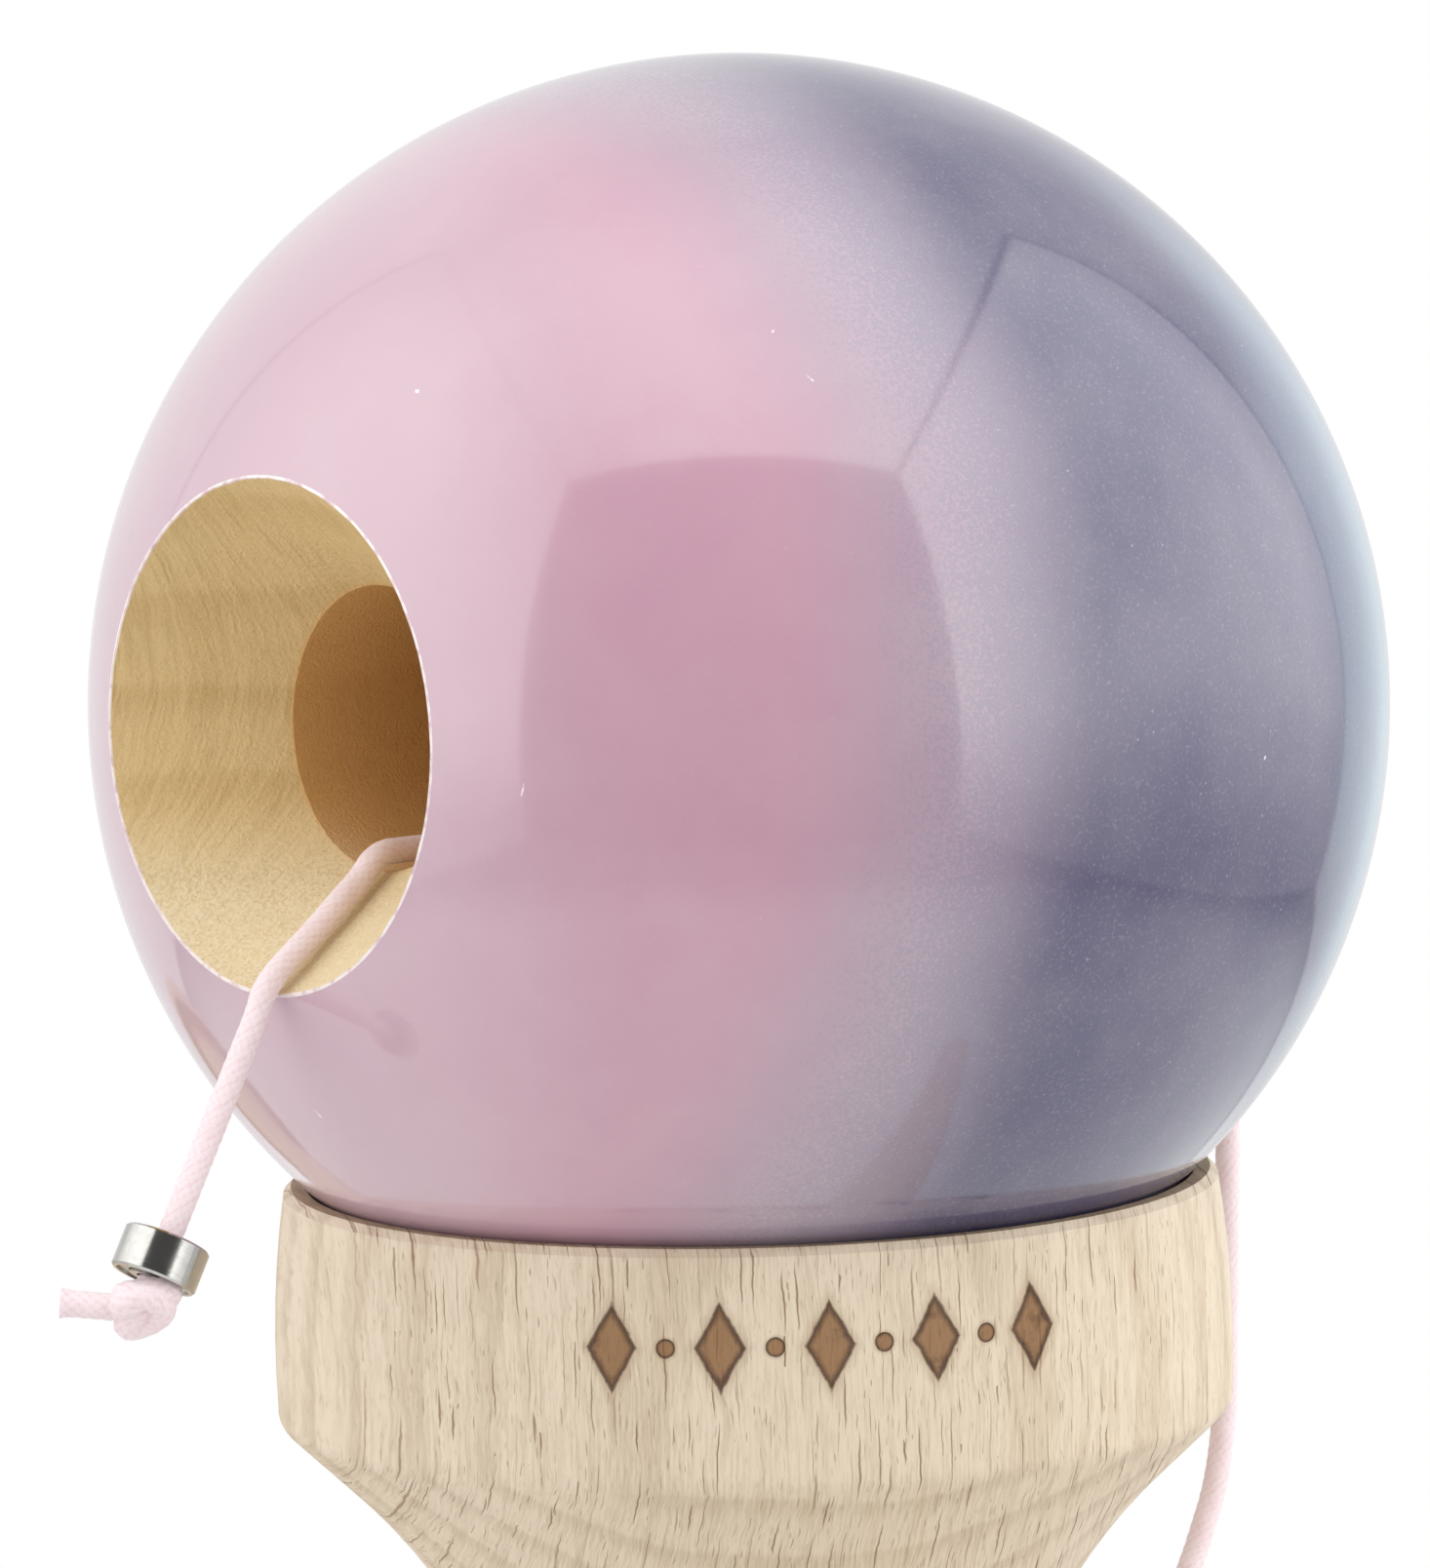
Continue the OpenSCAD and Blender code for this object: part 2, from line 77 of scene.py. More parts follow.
def placeCamera():
    turn, lift, roll = (math.radians(shot[k]) for k in ("azimuth", "elevation", "roll"))
    back = Vector((math.sin(turn) * math.cos(lift), -math.cos(turn) * math.cos(lift), math.sin(lift)))
    level = Vector((math.cos(turn), math.sin(turn), 0))
    plumb = back.cross(level)
    right = math.cos(roll) * level - math.sin(roll) * plumb
    up = math.cos(roll) * plumb + math.sin(roll) * level
    spot = ballCentre + (shot["distance"] * back - shot["ballRight"] * right - shot["ballUp"] * up) * mm
    data = bpy.data.cameras.new("camera")
    data.lens, data.sensor_width = shot["lens"], shot["sensor"]
    data.clip_start, data.clip_end = 0.05, 20
    camera = bpy.data.objects.new("camera", data)
    camera.matrix_world = Matrix((right, up, back)).transposed().to_4x4()
    camera.location = spot
    bpy.context.scene.collection.objects.link(camera)
    bpy.context.scene.camera = camera
    return right, up, back, level


shotRight, shotUp, shotBack, shotLevel = placeCamera()
print("camera: %.0f mm from the ball" % shot["distance"])


# node helpers
def wire(tree, node, links):
    for key, value in links.items():
        if isinstance(value, bpy.types.NodeSocket):
            tree.links.new(value, node.inputs[key])
        else:
            node.inputs[key].default_value = value
    return node


def put(tree, kind, links=None, **settings):
    node = tree.nodes.new("ShaderNode" + kind)
    for key, value in settings.items():
        setattr(node, key, value)
    return wire(tree, node, links or {})


def calc(tree, operation, a, b=0.0, c=0.0, clamp=False):
    return put(tree, "Math", {0: a, 1: b, 2: c}, operation=operation, use_clamp=clamp).outputs[0]


def plus(tree, a, b, clamp=False):
    return calc(tree, "ADD", a, b, clamp=clamp)


def minus(tree, a, b):
    return calc(tree, "SUBTRACT", a, b)


def times(tree, a, b, clamp=False):
    return calc(tree, "MULTIPLY", a, b, clamp=clamp)


def ratio(tree, a, b, clamp=False):
    return calc(tree, "DIVIDE", a, b, clamp=clamp)


def vectorCalc(tree, operation, a, b=(0, 0, 0)):
    node = put(tree, "VectorMath", {0: a, 1: b}, operation=operation)
    return node.outputs["Value" if operation in ("DOT_PRODUCT", "LENGTH") else "Vector"]


def dot(tree, a, b):
    return vectorCalc(tree, "DOT_PRODUCT", a, b)


def apart(tree, vector):
    return put(tree, "SeparateXYZ", {0: vector}).outputs


def scaled(tree, vector, by):
    return put(tree, "VectorMath", {0: vector, "Scale": by}, operation="SCALE").outputs["Vector"]


def ramp(tree, value, low, high, outLow=0.0, outHigh=1.0):
    node = put(tree, "MapRange", {0: value, 1: low, 2: high, 3: outLow, 4: outHigh},
               interpolation_type="SMOOTHSTEP")
    return node.outputs[0]


def mixed(tree, factor, a, b, blend="MIX"):
    node = put(tree, "Mix", {0: factor, 6: a, 7: b}, data_type="RGBA", blend_type=blend)
    return node.outputs[2]


def joined(tree, x, y, z):
    return put(tree, "CombineXYZ", {0: x, 1: y, 2: z}).outputs[0]


def noiseAt(tree, vector, scale, detail=2.0, rough=0.5):
    node = put(tree, "TexNoise", {"Vector": vector, "Scale": scale, "Detail": detail, "Roughness": rough})
    return node.outputs[0]


def startGroup(name, inputs, outputs):
    tree = bpy.data.node_groups.new(name, "ShaderNodeTree")
    for label, value in inputs.items():
        kind = "NodeSocketFloat"
        if isinstance(value, tuple):
            kind = "NodeSocketColor" if len(value) == 4 else "NodeSocketVector"
        socket = tree.interface.new_socket(label, in_out="INPUT", socket_type=kind)
        socket.default_value = value
    for label, kind in outputs.items():
        tree.interface.new_socket(label, in_out="OUTPUT", socket_type="NodeSocket" + kind)
    return tree, tree.nodes.new("NodeGroupInput").outputs, tree.nodes.new("NodeGroupOutput").inputs


def useGroup(tree, group, links):
    node = tree.nodes.new("ShaderNodeGroup")
    node.node_tree = group
    return wire(tree, node, links).outputs


def startMaterial(name, **sockets):
    material = bpy.data.materials.new(name)
    material.use_nodes = True
    tree = material.node_tree
    shader = next(n for n in tree.nodes if n.type == "BSDF_PRINCIPLED")
    for key, value in sockets.items():
        label = {"base": "Base Color", "rough": "Roughness", "metal": "Metallic", "coat": "Coat Weight",
                 "coatRough": "Coat Roughness", "sheen": "Sheen Weight", "sheenRough": "Sheen Roughness",
                 "specular": "Specular IOR Level", "coatIor": "Coat IOR"}[key]
        shader.inputs[label].default_value = value
    return material, tree, shader


def feed(tree, shader, label, socket):
    tree.links.new(socket, shader.inputs[label])


def bumped(tree, shader, height, strength, distance):
    node = put(tree, "Bump", {"Strength": strength, "Distance": distance, "Height": height})
    tree.links.new(node.outputs[0], shader.inputs["Normal"])


def placeInMm(tree, centre=(0, 0, 0)):
    spot = put(tree, "TexCoord").outputs["Object"]
    return scaled(tree, vectorCalc(tree, "SUBTRACT", spot, tuple(centre)), 1000.0)


# mesh helpers
def addPiece(name, verts, faces, materials, sharpAngle=None, faceMaterials=None):
    mesh = bpy.data.meshes.new(name)
    mesh.from_pydata([tuple(v) for v in verts], [], [tuple(f) for f in faces])
    for material in materials:
        mesh.materials.append(material)
    mesh.polygons.foreach_set("use_smooth", [True] * len(mesh.polygons))
    if faceMaterials is not None:
        mesh.polygons.foreach_set("material_index", faceMaterials)
    if sharpAngle is not None:
        mesh.set_sharp_from_angle(angle=math.radians(sharpAngle))
    piece = bpy.data.objects.new(name, mesh)
    bpy.context.scene.collection.objects.link(piece)
    return piece


def ringFaces(rings, sides):
    return [(i * sides + k, i * sides + (k + 1) % sides, (i + 1) * sides + (k + 1) % sides, (i + 1) * sides + k)
            for i in range(rings - 1) for k in range(sides)]


def smoothLine(points, step):
    p = np.array(points, float)
    p = np.vstack([2 * p[0] - p[1], p, 2 * p[-1] - p[-2]])
    line = [p[1]]
    for a, b, c, d in zip(p, p[1:], p[2:], p[3:]):
        tb = math.dist(a, b) ** 0.5
        tc = tb + math.dist(b, c) ** 0.5
        td = tc + math.dist(c, d) ** 0.5
        for t in np.linspace(tb, tc, 13)[1:]:
            ab = a + (b - a) * t / tb
            bc = b + (c - b) * (t - tb) / (tc - tb)
            cd = c + (d - c) * (t - tc) / (td - tc)
            abc = ab + (bc - ab) * t / tc
            bcd = bc + (cd - bc) * (t - tb) / (td - tb)
            line.append(abc + (bcd - abc) * (t - tb) / (tc - tb))
    line = np.array(line)
    run = np.concatenate([[0], np.cumsum(np.linalg.norm(np.diff(line, axis=0), axis=1))])
    even = np.linspace(0, run[-1], int(run[-1] / step) + 2)
    return np.stack([np.interp(even, run, line[:, i]) for i in range(3)], 1), even


def carryFrame(line):
    along = np.gradient(line, axis=0)
    along /= np.linalg.norm(along, axis=1)[:, None]
    across = np.zeros_like(along)
    n = np.array([1.0, 0, 0]) if abs(along[0][0]) < 0.9 else np.array([0, 1.0, 0])
    for i, t in enumerate(along):
        n = n - t * (n @ t)
        n /= np.linalg.norm(n)
        across[i] = n
    return across, np.cross(along, across)


# string: fine round braid, pale pink
string = {
    "diameter": 1.2, "strandsEachWay": 8, "lay": 4.4, "relief": 0.075,
    "pale": (0.90, 0.755, 0.78, 1), "groove": (0.83, 0.63, 0.665, 1), "fibre": (0.95, 0.87, 0.88, 1),
    "sheen": 0.35, "fuzzScale": 9.0, "blotchScale": 0.9,
}


def stringMaterial():
    material, tree, shader = startMaterial("palePinkBraid", sheen=string["sheen"], sheenRough=0.5, specular=0.2)
    place = placeInMm(tree)
    height = put(tree, "Attribute", attribute_name="braidHeight").outputs["Fac"]
    fuzz = noiseAt(tree, place, string["fuzzScale"], 4.0, 0.65)
    blotch = noiseAt(tree, place, string["blotchScale"], 2.0)
    # painted shade: the braid's grooves get a deeper pink; the same colour also makes random blotches below
    colour = mixed(tree, ramp(tree, height, 0.05, 0.7), string["groove"], string["pale"])
    colour = mixed(tree, ramp(tree, fuzz, 0.5, 0.72, 0.0, 0.55), colour, string["fibre"])
    colour = mixed(tree, ramp(tree, blotch, 0.45, 0.7, 0.0, 0.2), colour, string["groove"])
    feed(tree, shader, "Base Color", colour)
    feed(tree, shader, "Roughness", ramp(tree, fuzz, 0.3, 0.7, 0.78, 0.95))
    bumped(tree, shader, fuzz, 0.6, 0.00006)
    return material


def braidHeight(around, run):
    # two families of strands, one over the other by turns
    n, turn = string["strandsEachWay"], run / string["lay"]
    a, b = n * (around + turn), n * (around - turn)
    even = (np.floor(a) + np.floor(b)) % 2 == 0
    fa, fb = a - np.floor(a) - 0.5, b - np.floor(b) - 0.5
    wide, long = np.where(even, fa, fb), np.where(even, fb, fa)
    return np.cos(np.pi * wide) * (0.58 + 0.42 * np.cos(np.pi * long))


def stringPiece(name, points, step, sides, startRun=0.0, swell=None):
    line, run = smoothLine(points, step)
    across, beside = carryFrame(line)
    around = np.arange(sides) / sides
    height = braidHeight(around[None, :], (run + startRun)[:, None])
    radius = string["diameter"] / 2 * (1 - string["relief"] * (1 - height))
    if swell is not None:
        radius = radius * np.array([swell(s, run[-1]) for s in run])[:, None]
    angle = 2 * np.pi * around
    rings = line[:, None, :] + radius[:, :, None] * (
        np.cos(angle)[None, :, None] * across[:, None, :] + np.sin(angle)[None, :, None] * beside[:, None, :])
    count = len(line)
    faces = ringFaces(count, sides)
    faces += [tuple(reversed(range(sides))), tuple(range((count - 1) * sides, count * sides))]
    piece = addPiece(name, rings.reshape(-1, 3) * mm, faces, [braid], sharpAngle=70)
    tint = piece.data.attributes.new("braidHeight", "FLOAT", "POINT")
    tint.data.foreach_set("value", height.reshape(-1).astype(np.float32))
    return piece, line * mm, run[-1]


braid = stringMaterial()

ballZ, kenZ, dropX = toy["ballHeight"], toy["kenHeight"], -2.2
throughBall = [
    (dropX, 31.6, -10), (dropX, 31.6, -8), (-2.1, 31.5, -6), (-1.7, 31.2, -4.4), (-1.1, 30.6, -3.1),
    (-0.5, 29.6, -2.2), (-0.2, 28.2, -1.7), (0, 26, -1.4), (0, 22, -1.2), (0, 18, -1.1), (0, 15, -1.4),
    (0, 12, -2.2), (0, 9, -3.3), (0, 6, -4.3), (0, 3, -5), (0, 0, -5.4), (0, -4, -5.4), (0, -9, -5.2),
    (0, -14, -5), (0.1, -18, -4.7), (0.3, -20.6, -4.6), (0.4, -21.4, -4.6), (0.5, -22.2, -4.9),
    (0.6, -23, -5.6), (0.8, -24.5, -6.6), (0.9, -26, -7.7), (1, -27.5, -8.7), (1, -28.4, -9.4), (1, -29, -10.1),
]
tailSteps = [1.4, 3, 5, 7, 9, 11, toy["tailLength"], toy["tailEnd"]]
tailRoute = [(x, y, z + ballZ) for x, y, z in throughBall]
tailRoute += [tuple(Vector(toy["tailTop"]) + s * tailWay) for s in tailSteps]
dropRoute = [
    (dropX, 31.6, ballZ - 10), (dropX, 31.6, 77), (dropX, 31.6, 71), (dropX, 31.4, 65), (dropX, 31.2, 60),
    (dropX, 31, 56), (dropX, 30.3, 52.4), (dropX, 29.1, 49.6), (dropX, 27.8, 47), (-2.1, 26.7, 44),
    (-2, 26, 40.5), (-1.9, 25.7, 36), (-1.8, 25.6, 30), (-1.8, 25.6, 24), (-1.8, 25.6, 18), (-1.8, 25.6, 12),
    (-1.8, 25.6, 6),
]

# put away coil: in at the lower layer, out at the upper
coil = {
    "x": -9.8, "y": 30.4, "radius": 8.0, "pitch": 1.7, "layers": (1.05, 2.75), "layerTurns": 1.625,
    "climb": 0.5, "bend": 2.8, "steps": 24,
}
coilTurns = 2 * coil["layerTurns"] + coil["climb"]


def coilPoint(t):
    u = min(max((t - coil["layerTurns"]) / coil["climb"], 0), 1)
    radius = coil["radius"] - coil["pitch"] * min(t, coilTurns - t)
    low, high = coil["layers"]
    angle = 2 * math.pi * t
    return (coil["x"] + radius * math.cos(angle), coil["y"] + radius * math.sin(angle),
            low + (high - low) * u * u * (3 - 2 * u))


def coilRoute():
    x, y, bend, low = coil["x"] + coil["radius"], coil["y"] - 2, coil["bend"], coil["layers"][0]
    entry = [(x, y - bend, 6.0), (x, y - bend, low + bend)]
    entry += [(x, y - bend * math.cos(math.radians(a)), low + bend * (1 - math.sin(math.radians(a))))
              for a in (20, 40, 60, 80)]
    loops = [coilPoint(i / coil["steps"]) for i in range(int(coilTurns * coil["steps"]) + 1)]
    end = Vector(loops[-1])
    away = Vector((string["diameter"], 0, 0))
    return entry + [(x, y, low)] + loops + [tuple(end + away), tuple(end + 2 * away)]


riserRoute = [
    (-5.6, 22.4, 2.9), (-3.6, 22.3, 3.2), (-1.9, 22.1, 4), (-0.7, 21.8, 5.4), (-0.2, 21.5, 7.4), (0, 21.4, 10),
    (0, 21.3, 12), (0, 20.9, 13.8), (0, 19.9, 15.2), (0, 18.4, 16.6), (0, 16.9, 18.4), (0, 15.7, 20.4),
    (0, 15, 23), (0, 15, 26), (0, 15.3, 28.6), (0, 15.3, 30.8), (0, 14.6, 32.6), (0, 13.2, 33.7),
    (0, 11.4, kenZ), (0, 8, kenZ), (0, 4, kenZ), (0, 0, kenZ), (0, -1.5, kenZ),
]

tailString, tailLine, tailRun = stringPiece("tailString", tailRoute, 0.16, 36)
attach(tailString, "cord_end")
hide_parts("string_tail")

dropString, dropLine, dropRun = stringPiece("dropString", dropRoute, 0.2, 30)
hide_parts("string_drop")
tuple(dropLine[0])
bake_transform(dropString)

coilString, coilLine, coilRun = stringPiece("coilString", (coilRoute() + riserRoute)[::-1], 0.24, 24)
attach(coilString, "ken_and_cups")
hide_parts("string_coil", "string_riser")
print("string: tail %.0f mm, drop %.0f mm, coil and riser %.0f mm" % (tailRun, dropRun, coilRun))


# stopper knots: the string turns back up round itself and leaves to one side
knot = {
    "middle": 1.375, "turns": 1.8, "wrapRadius": 0.86, "wrapSteps": 18, "low": 1.8, "high": 0.6, "slant": 0.42,
    "tuckFrom": 0.8, "endSteps": (0.32, 0.48, 0.7, 1), "fat": 1.14, "slimmer": 0.1,
    "fray": 0.14, "frayLength": 0.5,
    "cutTilt": 84, "cutTurn": 230, "cutLength": 3.6, "innerWay": (0.45, -0.75, 0.48), "innerLength": 1.9,
}


def knotRoute(endWay, endLength):
    # local frame: the string comes in at the origin and goes along +z
    out = math.atan2(endWay[1], endWay[0])
    start = out - 2 * math.pi * knot["turns"]
    r, low, rise = knot["wrapRadius"], knot["low"], knot["low"] - knot["high"]
    route = [(0, 0, 0), (0, 0, 0.7), (0.1 * math.cos(start), 0.1 * math.sin(start), 1.3)]
    route += [(0.5 * r * math.cos(start - 0.5), 0.5 * r * math.sin(start - 0.5), low)]
    tuck = knot["tuckFrom"]
    for i in range(knot["wrapSteps"] + 1):
        u = i / knot["wrapSteps"]
        a = start + (out - 0.7 - start) * u
        climb = rise * math.sin(min(u / tuck, 1) * math.pi / 2)
        if u > tuck:
            climb -= (rise - low + knot["middle"]) * (u - tuck) / (1 - tuck)  # under the last turn
        route.append((r * math.cos(a), r * math.sin(a), low - climb + knot["slant"] * math.cos(a - out - 0.6)))
    middle, way = Vector((0, 0, knot["middle"])), Vector(endWay)
    route += [tuple(middle + s * endLength * way) for s in knot["endSteps"]]
    return route


def placeKnot(name, at, way, endWay, endLength):
    z = Vector(way).normalized()
    x = Vector((1, 0, 0))
    x = (x - z * x.dot(z)).normalized()
    y = z.cross(x)
    local = (Vector(endWay).dot(x), Vector(endWay).dot(y), Vector(endWay).dot(z))
    route = [tuple(Vector(at) + p[0] * x + p[1] * y + p[2] * z) for p in knotRoute(local, endLength)]

    def swell(run, full):
        loose = max(0, 1 - (full - run) / knot["frayLength"])  # the cut end opens a little
        onEnd = min(1, max(0, (run - full + 3.4) / 0.6))
        return knot["fat"] - knot["slimmer"] * onEnd + knot["fray"] * loose

    return stringPiece(name, route, 0.1, 30, swell=swell)[0]


tailTip = Vector(toy["tailTop"]) + toy["tailEnd"] * tailWay
tilt, turn = math.radians(knot["cutTilt"]), math.radians(knot["cutTurn"])
cutWay = Vector((math.sin(tilt) * math.cos(turn), math.sin(tilt) * math.sin(turn), math.cos(tilt)))
endKnot = placeKnot("endKnot", tailTip, tailWay, cutWay, knot["cutLength"])
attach(endKnot, "cord_end")
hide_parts("end_knot")

kenKnot = placeKnot("kenKnot", riserRoute[-1], (0, -1, 0), knot["innerWay"], knot["innerLength"])
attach(kenKnot, "ken_and_cups")
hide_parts("ken_knot")
print("knots: cut end towards (%.2f, %.2f, %.2f)" % tuple(cutWay))


# beech: growth layers, fine fibres along z, dark rays that run in from the bark side
beech = {
    "wander": 0.4, "sway": 4.0, "pithBehind": 62.0, "late": 0.42, "streak": 0.36, "fibre": (-0.28, 0.31),
    "pores": 0.2, "rays": 0.95, "onQuarter": 0.2, "endGrainAndShadeTone": (0.62, 0.56, 0.49, 1), "relief": 0.06,
    # noise scales per mm: across, in depth, along
    "swayScale": (0.07, 0.07, 0.02), "streakScale": (1.5, 0.12, 0.07), "fibreScale": (8.0, 0.2, 0.45),
    "poreScale": (13.0, 0.4, 1.3),
    # rays: cells across and along, half width, half length, share left out
    "longRays": (1.5, 0.24, 0.054, 1.9, 0.18), "fineRays": (2.2, 0.8, 0.032, 0.42, 0.35), "fineStrength": 0.7,
}


def beechGroup():
    tree, given, made = startGroup("beechGrain", {
        "Place": (0, 0, 0), "Face": (0, 0, 0), "Layer Way": (1, 0, 0), "Ring Pitch": 1.9, "Rays": 1.0,
        "Pale": (0.7, 0.55, 0.4, 1), "Deep": (0.5, 0.36, 0.24, 1), "Ray": (0.25, 0.15, 0.08, 1),
    }, {"Color": "Color", "Height": "Float", "Roughness": "Float"})
    place, way = given["Place"], given["Layer Way"]
    depth = dot(tree, place, way)
    sideWay = vectorCalc(tree, "CROSS_PRODUCT", way, (0, 0, 1))
    side = dot(tree, place, sideWay)
    along = apart(tree, place)[2]
    # fibres wander a little from side to side
    wander = minus(tree, noiseAt(tree, scaled(tree, place, 0.45), 1.0, 3.0, 0.6), 0.5)
    side = calc(tree, "MULTIPLY_ADD", wander, beech["wander"], side)

    def stretched(acrossScale, depthScale, alongScale):
        return joined(tree, times(tree, side, acrossScale), times(tree, depth, depthScale),
                      times(tree, along, alongScale))

    # layers curve round a pith well behind the piece
    sway = times(tree, noiseAt(tree, stretched(*beech["swayScale"]), 1.0, 2.0), beech["sway"])
    far = plus(tree, plus(tree, depth, sway), beech["pithBehind"])
    reach = calc(tree, "SQRT", plus(tree, calc(tree, "POWER", far, 2.0), calc(tree, "POWER", side, 2.0)))
    ring = calc(tree, "FRACT", ratio(tree, reach, given["Ring Pitch"]))
    late = times(tree, ramp(tree, ring, 0.35, 0.82), ramp(tree, ring, 0.84, 1.0, 1.0, 0.0))

    streak = noiseAt(tree, stretched(*beech["streakScale"]), 1.0, 4.0, 0.6)
    fibre = noiseAt(tree, stretched(*beech["fibreScale"]), 1.0, 3.0, 0.6)
    pores = ramp(tree, noiseAt(tree, stretched(*beech["poreScale"]), 1.0, 2.0, 0.5), 0.58, 0.72)

    def rays(acrossScale, alongScale, halfWidth, halfLength, share):
        spot = stretched(acrossScale, 0.02, alongScale)
        cell = put(tree, "TexVoronoi", {"Vector": spot, "Scale": 1.0, "Randomness": 1.0})
        away = apart(tree, vectorCalc(tree, "SUBTRACT", spot, cell.outputs["Position"]))
        luck = apart(tree, cell.outputs["Color"])
        width, length = halfWidth * acrossScale, halfLength * alongScale
        wide = ratio(tree, away[0], calc(tree, "MULTIPLY_ADD", luck[0], width, 0.4 * width))
        long = ratio(tree, away[2], calc(tree, "MULTIPLY_ADD", luck[2], length, 0.4 * length))
        gone = plus(tree, calc(tree, "ABSOLUTE", wide), calc(tree, "POWER", long, 2.0))
        dark = ramp(tree, luck[1], share, 1.0, 0.25, 1.0)
        shown = calc(tree, "GREATER_THAN", luck[1], share)
        return times(tree, ramp(tree, gone, 0.35, 1.0, 1.0, 0.0), times(tree, dark, shown))

    fine = times(tree, rays(*beech["fineRays"]), beech["fineStrength"])
    ray = calc(tree, "MAXIMUM", rays(*beech["longRays"]), fine)
    # on quarter faces the rays lie flat and hardly show
    quarter = calc(tree, "ABSOLUTE", dot(tree, given["Face"], sideWay))
    ray = times(tree, ray, ramp(tree, quarter, 0.8, 0.97, 1.0, beech["onQuarter"]))
    ray = times(tree, ray, given["Rays"], clamp=True)

    shade = plus(tree, times(tree, late, beech["late"]), ramp(tree, streak, 0.35, 0.75, 0.0, beech["streak"]))
    shade = plus(tree, shade, ramp(tree, fibre, 0.3, 0.7, *beech["fibre"]), clamp=True)
    colour = mixed(tree, shade, given["Pale"], given["Deep"])
    colour = mixed(tree, times(tree, pores, beech["pores"]), colour, given["Ray"])
    colour = mixed(tree, times(tree, ray, beech["rays"]), colour, given["Ray"])
    # end grain drinks in more and looks browner; on the cup this darkening also stands as painted shade on the
    # rim's top and in the dish under the ball
    end = calc(tree, "ABSOLUTE", apart(tree, given["Face"])[2])
    colour = mixed(tree, ramp(tree, end, 0.74, 0.95), colour, beech["endGrainAndShadeTone"], "MULTIPLY")
    height = minus(tree, times(tree, fibre, 0.55), plus(tree, times(tree, ray, 0.6), times(tree, pores, 0.25)))
    tree.links.new(colour, made["Color"])
    tree.links.new(height, made["Height"])
    tree.links.new(ramp(tree, streak, 0.3, 0.7, 0.50, 0.66), made["Roughness"])
    return tree


beechGrain = beechGroup()


def useBeech(tree, wood, place, face=(0, 0, 0)):
    return useGroup(tree, beechGrain, {
        "Place": place, "Face": face, "Layer Way": wood["layerWay"], "Ring Pitch": wood["ringPitch"],
        "Rays": wood["rays"], "Pale": wood["pale"], "Deep": wood["deep"], "Ray": wood["ray"]})


cupWood = {
    "pale": (0.735, 0.618, 0.475, 1), "deep": (0.545, 0.43, 0.305, 1), "ray": (0.29, 0.172, 0.092, 1),
    "layerWay": (0.868, -0.496, 0), "ringPitch": 3.3, "rays": 1.0,
}
# burned row on the large cup: lozenges with dots between them
burn = {
    "middle": -30.9, "height": 66.9, "pitch": 5.0, "count": 5, "halfWidth": 1.2, "halfHeight": 2.1, "dot": 0.45,
    "edge": (0.085, 0.036, 0.016, 1), "inside": (0.33, 0.185, 0.088, 1), "depth": 0.16, "ragged": 0.26,
}


def cupMaterial():
    material, tree, shader = startMaterial("beechCups", specular=0.3)
    place = placeInMm(tree)
    grain = useBeech(tree, cupWood, place, put(tree, "TexCoord").outputs["Normal"])
    axes = apart(tree, place)
    middle = math.radians(burn["middle"])
    turned = dot(tree, place, (-math.sin(middle), math.cos(middle), 0))
    facing = dot(tree, place, (math.cos(middle), math.sin(middle), 0))
    arc = times(tree, calc(tree, "ARCTAN2", turned, facing), toy["cupRadius"] / burn["pitch"])
    rise = calc(tree, "ABSOLUTE", minus(tree, axes[2], burn["height"]))
    onRow = calc(tree, "LESS_THAN", calc(tree, "ABSOLUTE", arc), burn["count"] / 2)

    def fromNearest(value):
        near = minus(tree, value, calc(tree, "ROUND", value))
        return calc(tree, "ABSOLUTE", times(tree, near, burn["pitch"]))

    ragged = times(tree, noiseAt(tree, place, 1.1, 4.0, 0.7), burn["ragged"])
    lozenge = plus(tree, ratio(tree, fromNearest(arc), burn["halfWidth"]),
                   ratio(tree, rise, burn["halfHeight"]))
    between = calc(tree, "LESS_THAN", calc(tree, "ABSOLUTE", arc), burn["count"] / 2 - 0.6)
    across = fromNearest(plus(tree, arc, 0.5))
    squares = plus(tree, calc(tree, "POWER", across, 2.0), calc(tree, "POWER", rise, 2.0))
    spot = ratio(tree, calc(tree, "SQRT", squares), burn["dot"])
    spot = plus(tree, spot, times(tree, minus(tree, 1.0, between), 9.0))  # none past the end lozenges
    edge = plus(tree, calc(tree, "MINIMUM", lozenge, spot), ragged)
    mark = times(tree, ramp(tree, edge, 1.02, 1.16, 1.0, 0.0), onRow)
    scorch = times(tree, ramp(tree, edge, 1.05, 1.6, 0.35, 0.0), onRow)
    soot = noiseAt(tree, place, 0.8, 4.0, 0.65)
    inside = plus(tree, ramp(tree, edge, 0.72, 1.05), ramp(tree, soot, 0.5, 0.7, 0.0, 0.6), clamp=True)
    burned = mixed(tree, inside, burn["inside"], burn["edge"])
    burned = mixed(tree, 0.5, burned, grain["Color"], "MULTIPLY")
    colour = mixed(tree, scorch, grain["Color"], burn["inside"])
    colour = mixed(tree, times(tree, mark, 0.92), colour, burned)
    feed(tree, shader, "Base Color", colour)
    feed(tree, shader, "Roughness", plus(tree, grain["Roughness"], times(tree, mark, 0.15)))
    height = minus(tree, times(tree, grain["Height"], beech["relief"]), times(tree, mark, burn["depth"]))
    bumped(tree, shader, height, 0.8, 0.001)
    return material


kenWood = {
    "pale": (0.70, 0.585, 0.455, 1), "deep": (0.53, 0.42, 0.30, 1), "ray": (0.29, 0.172, 0.092, 1),
    "layerWay": (0.5, 0.866, 0), "ringPitch": 2.8, "rays": 1.0,
}


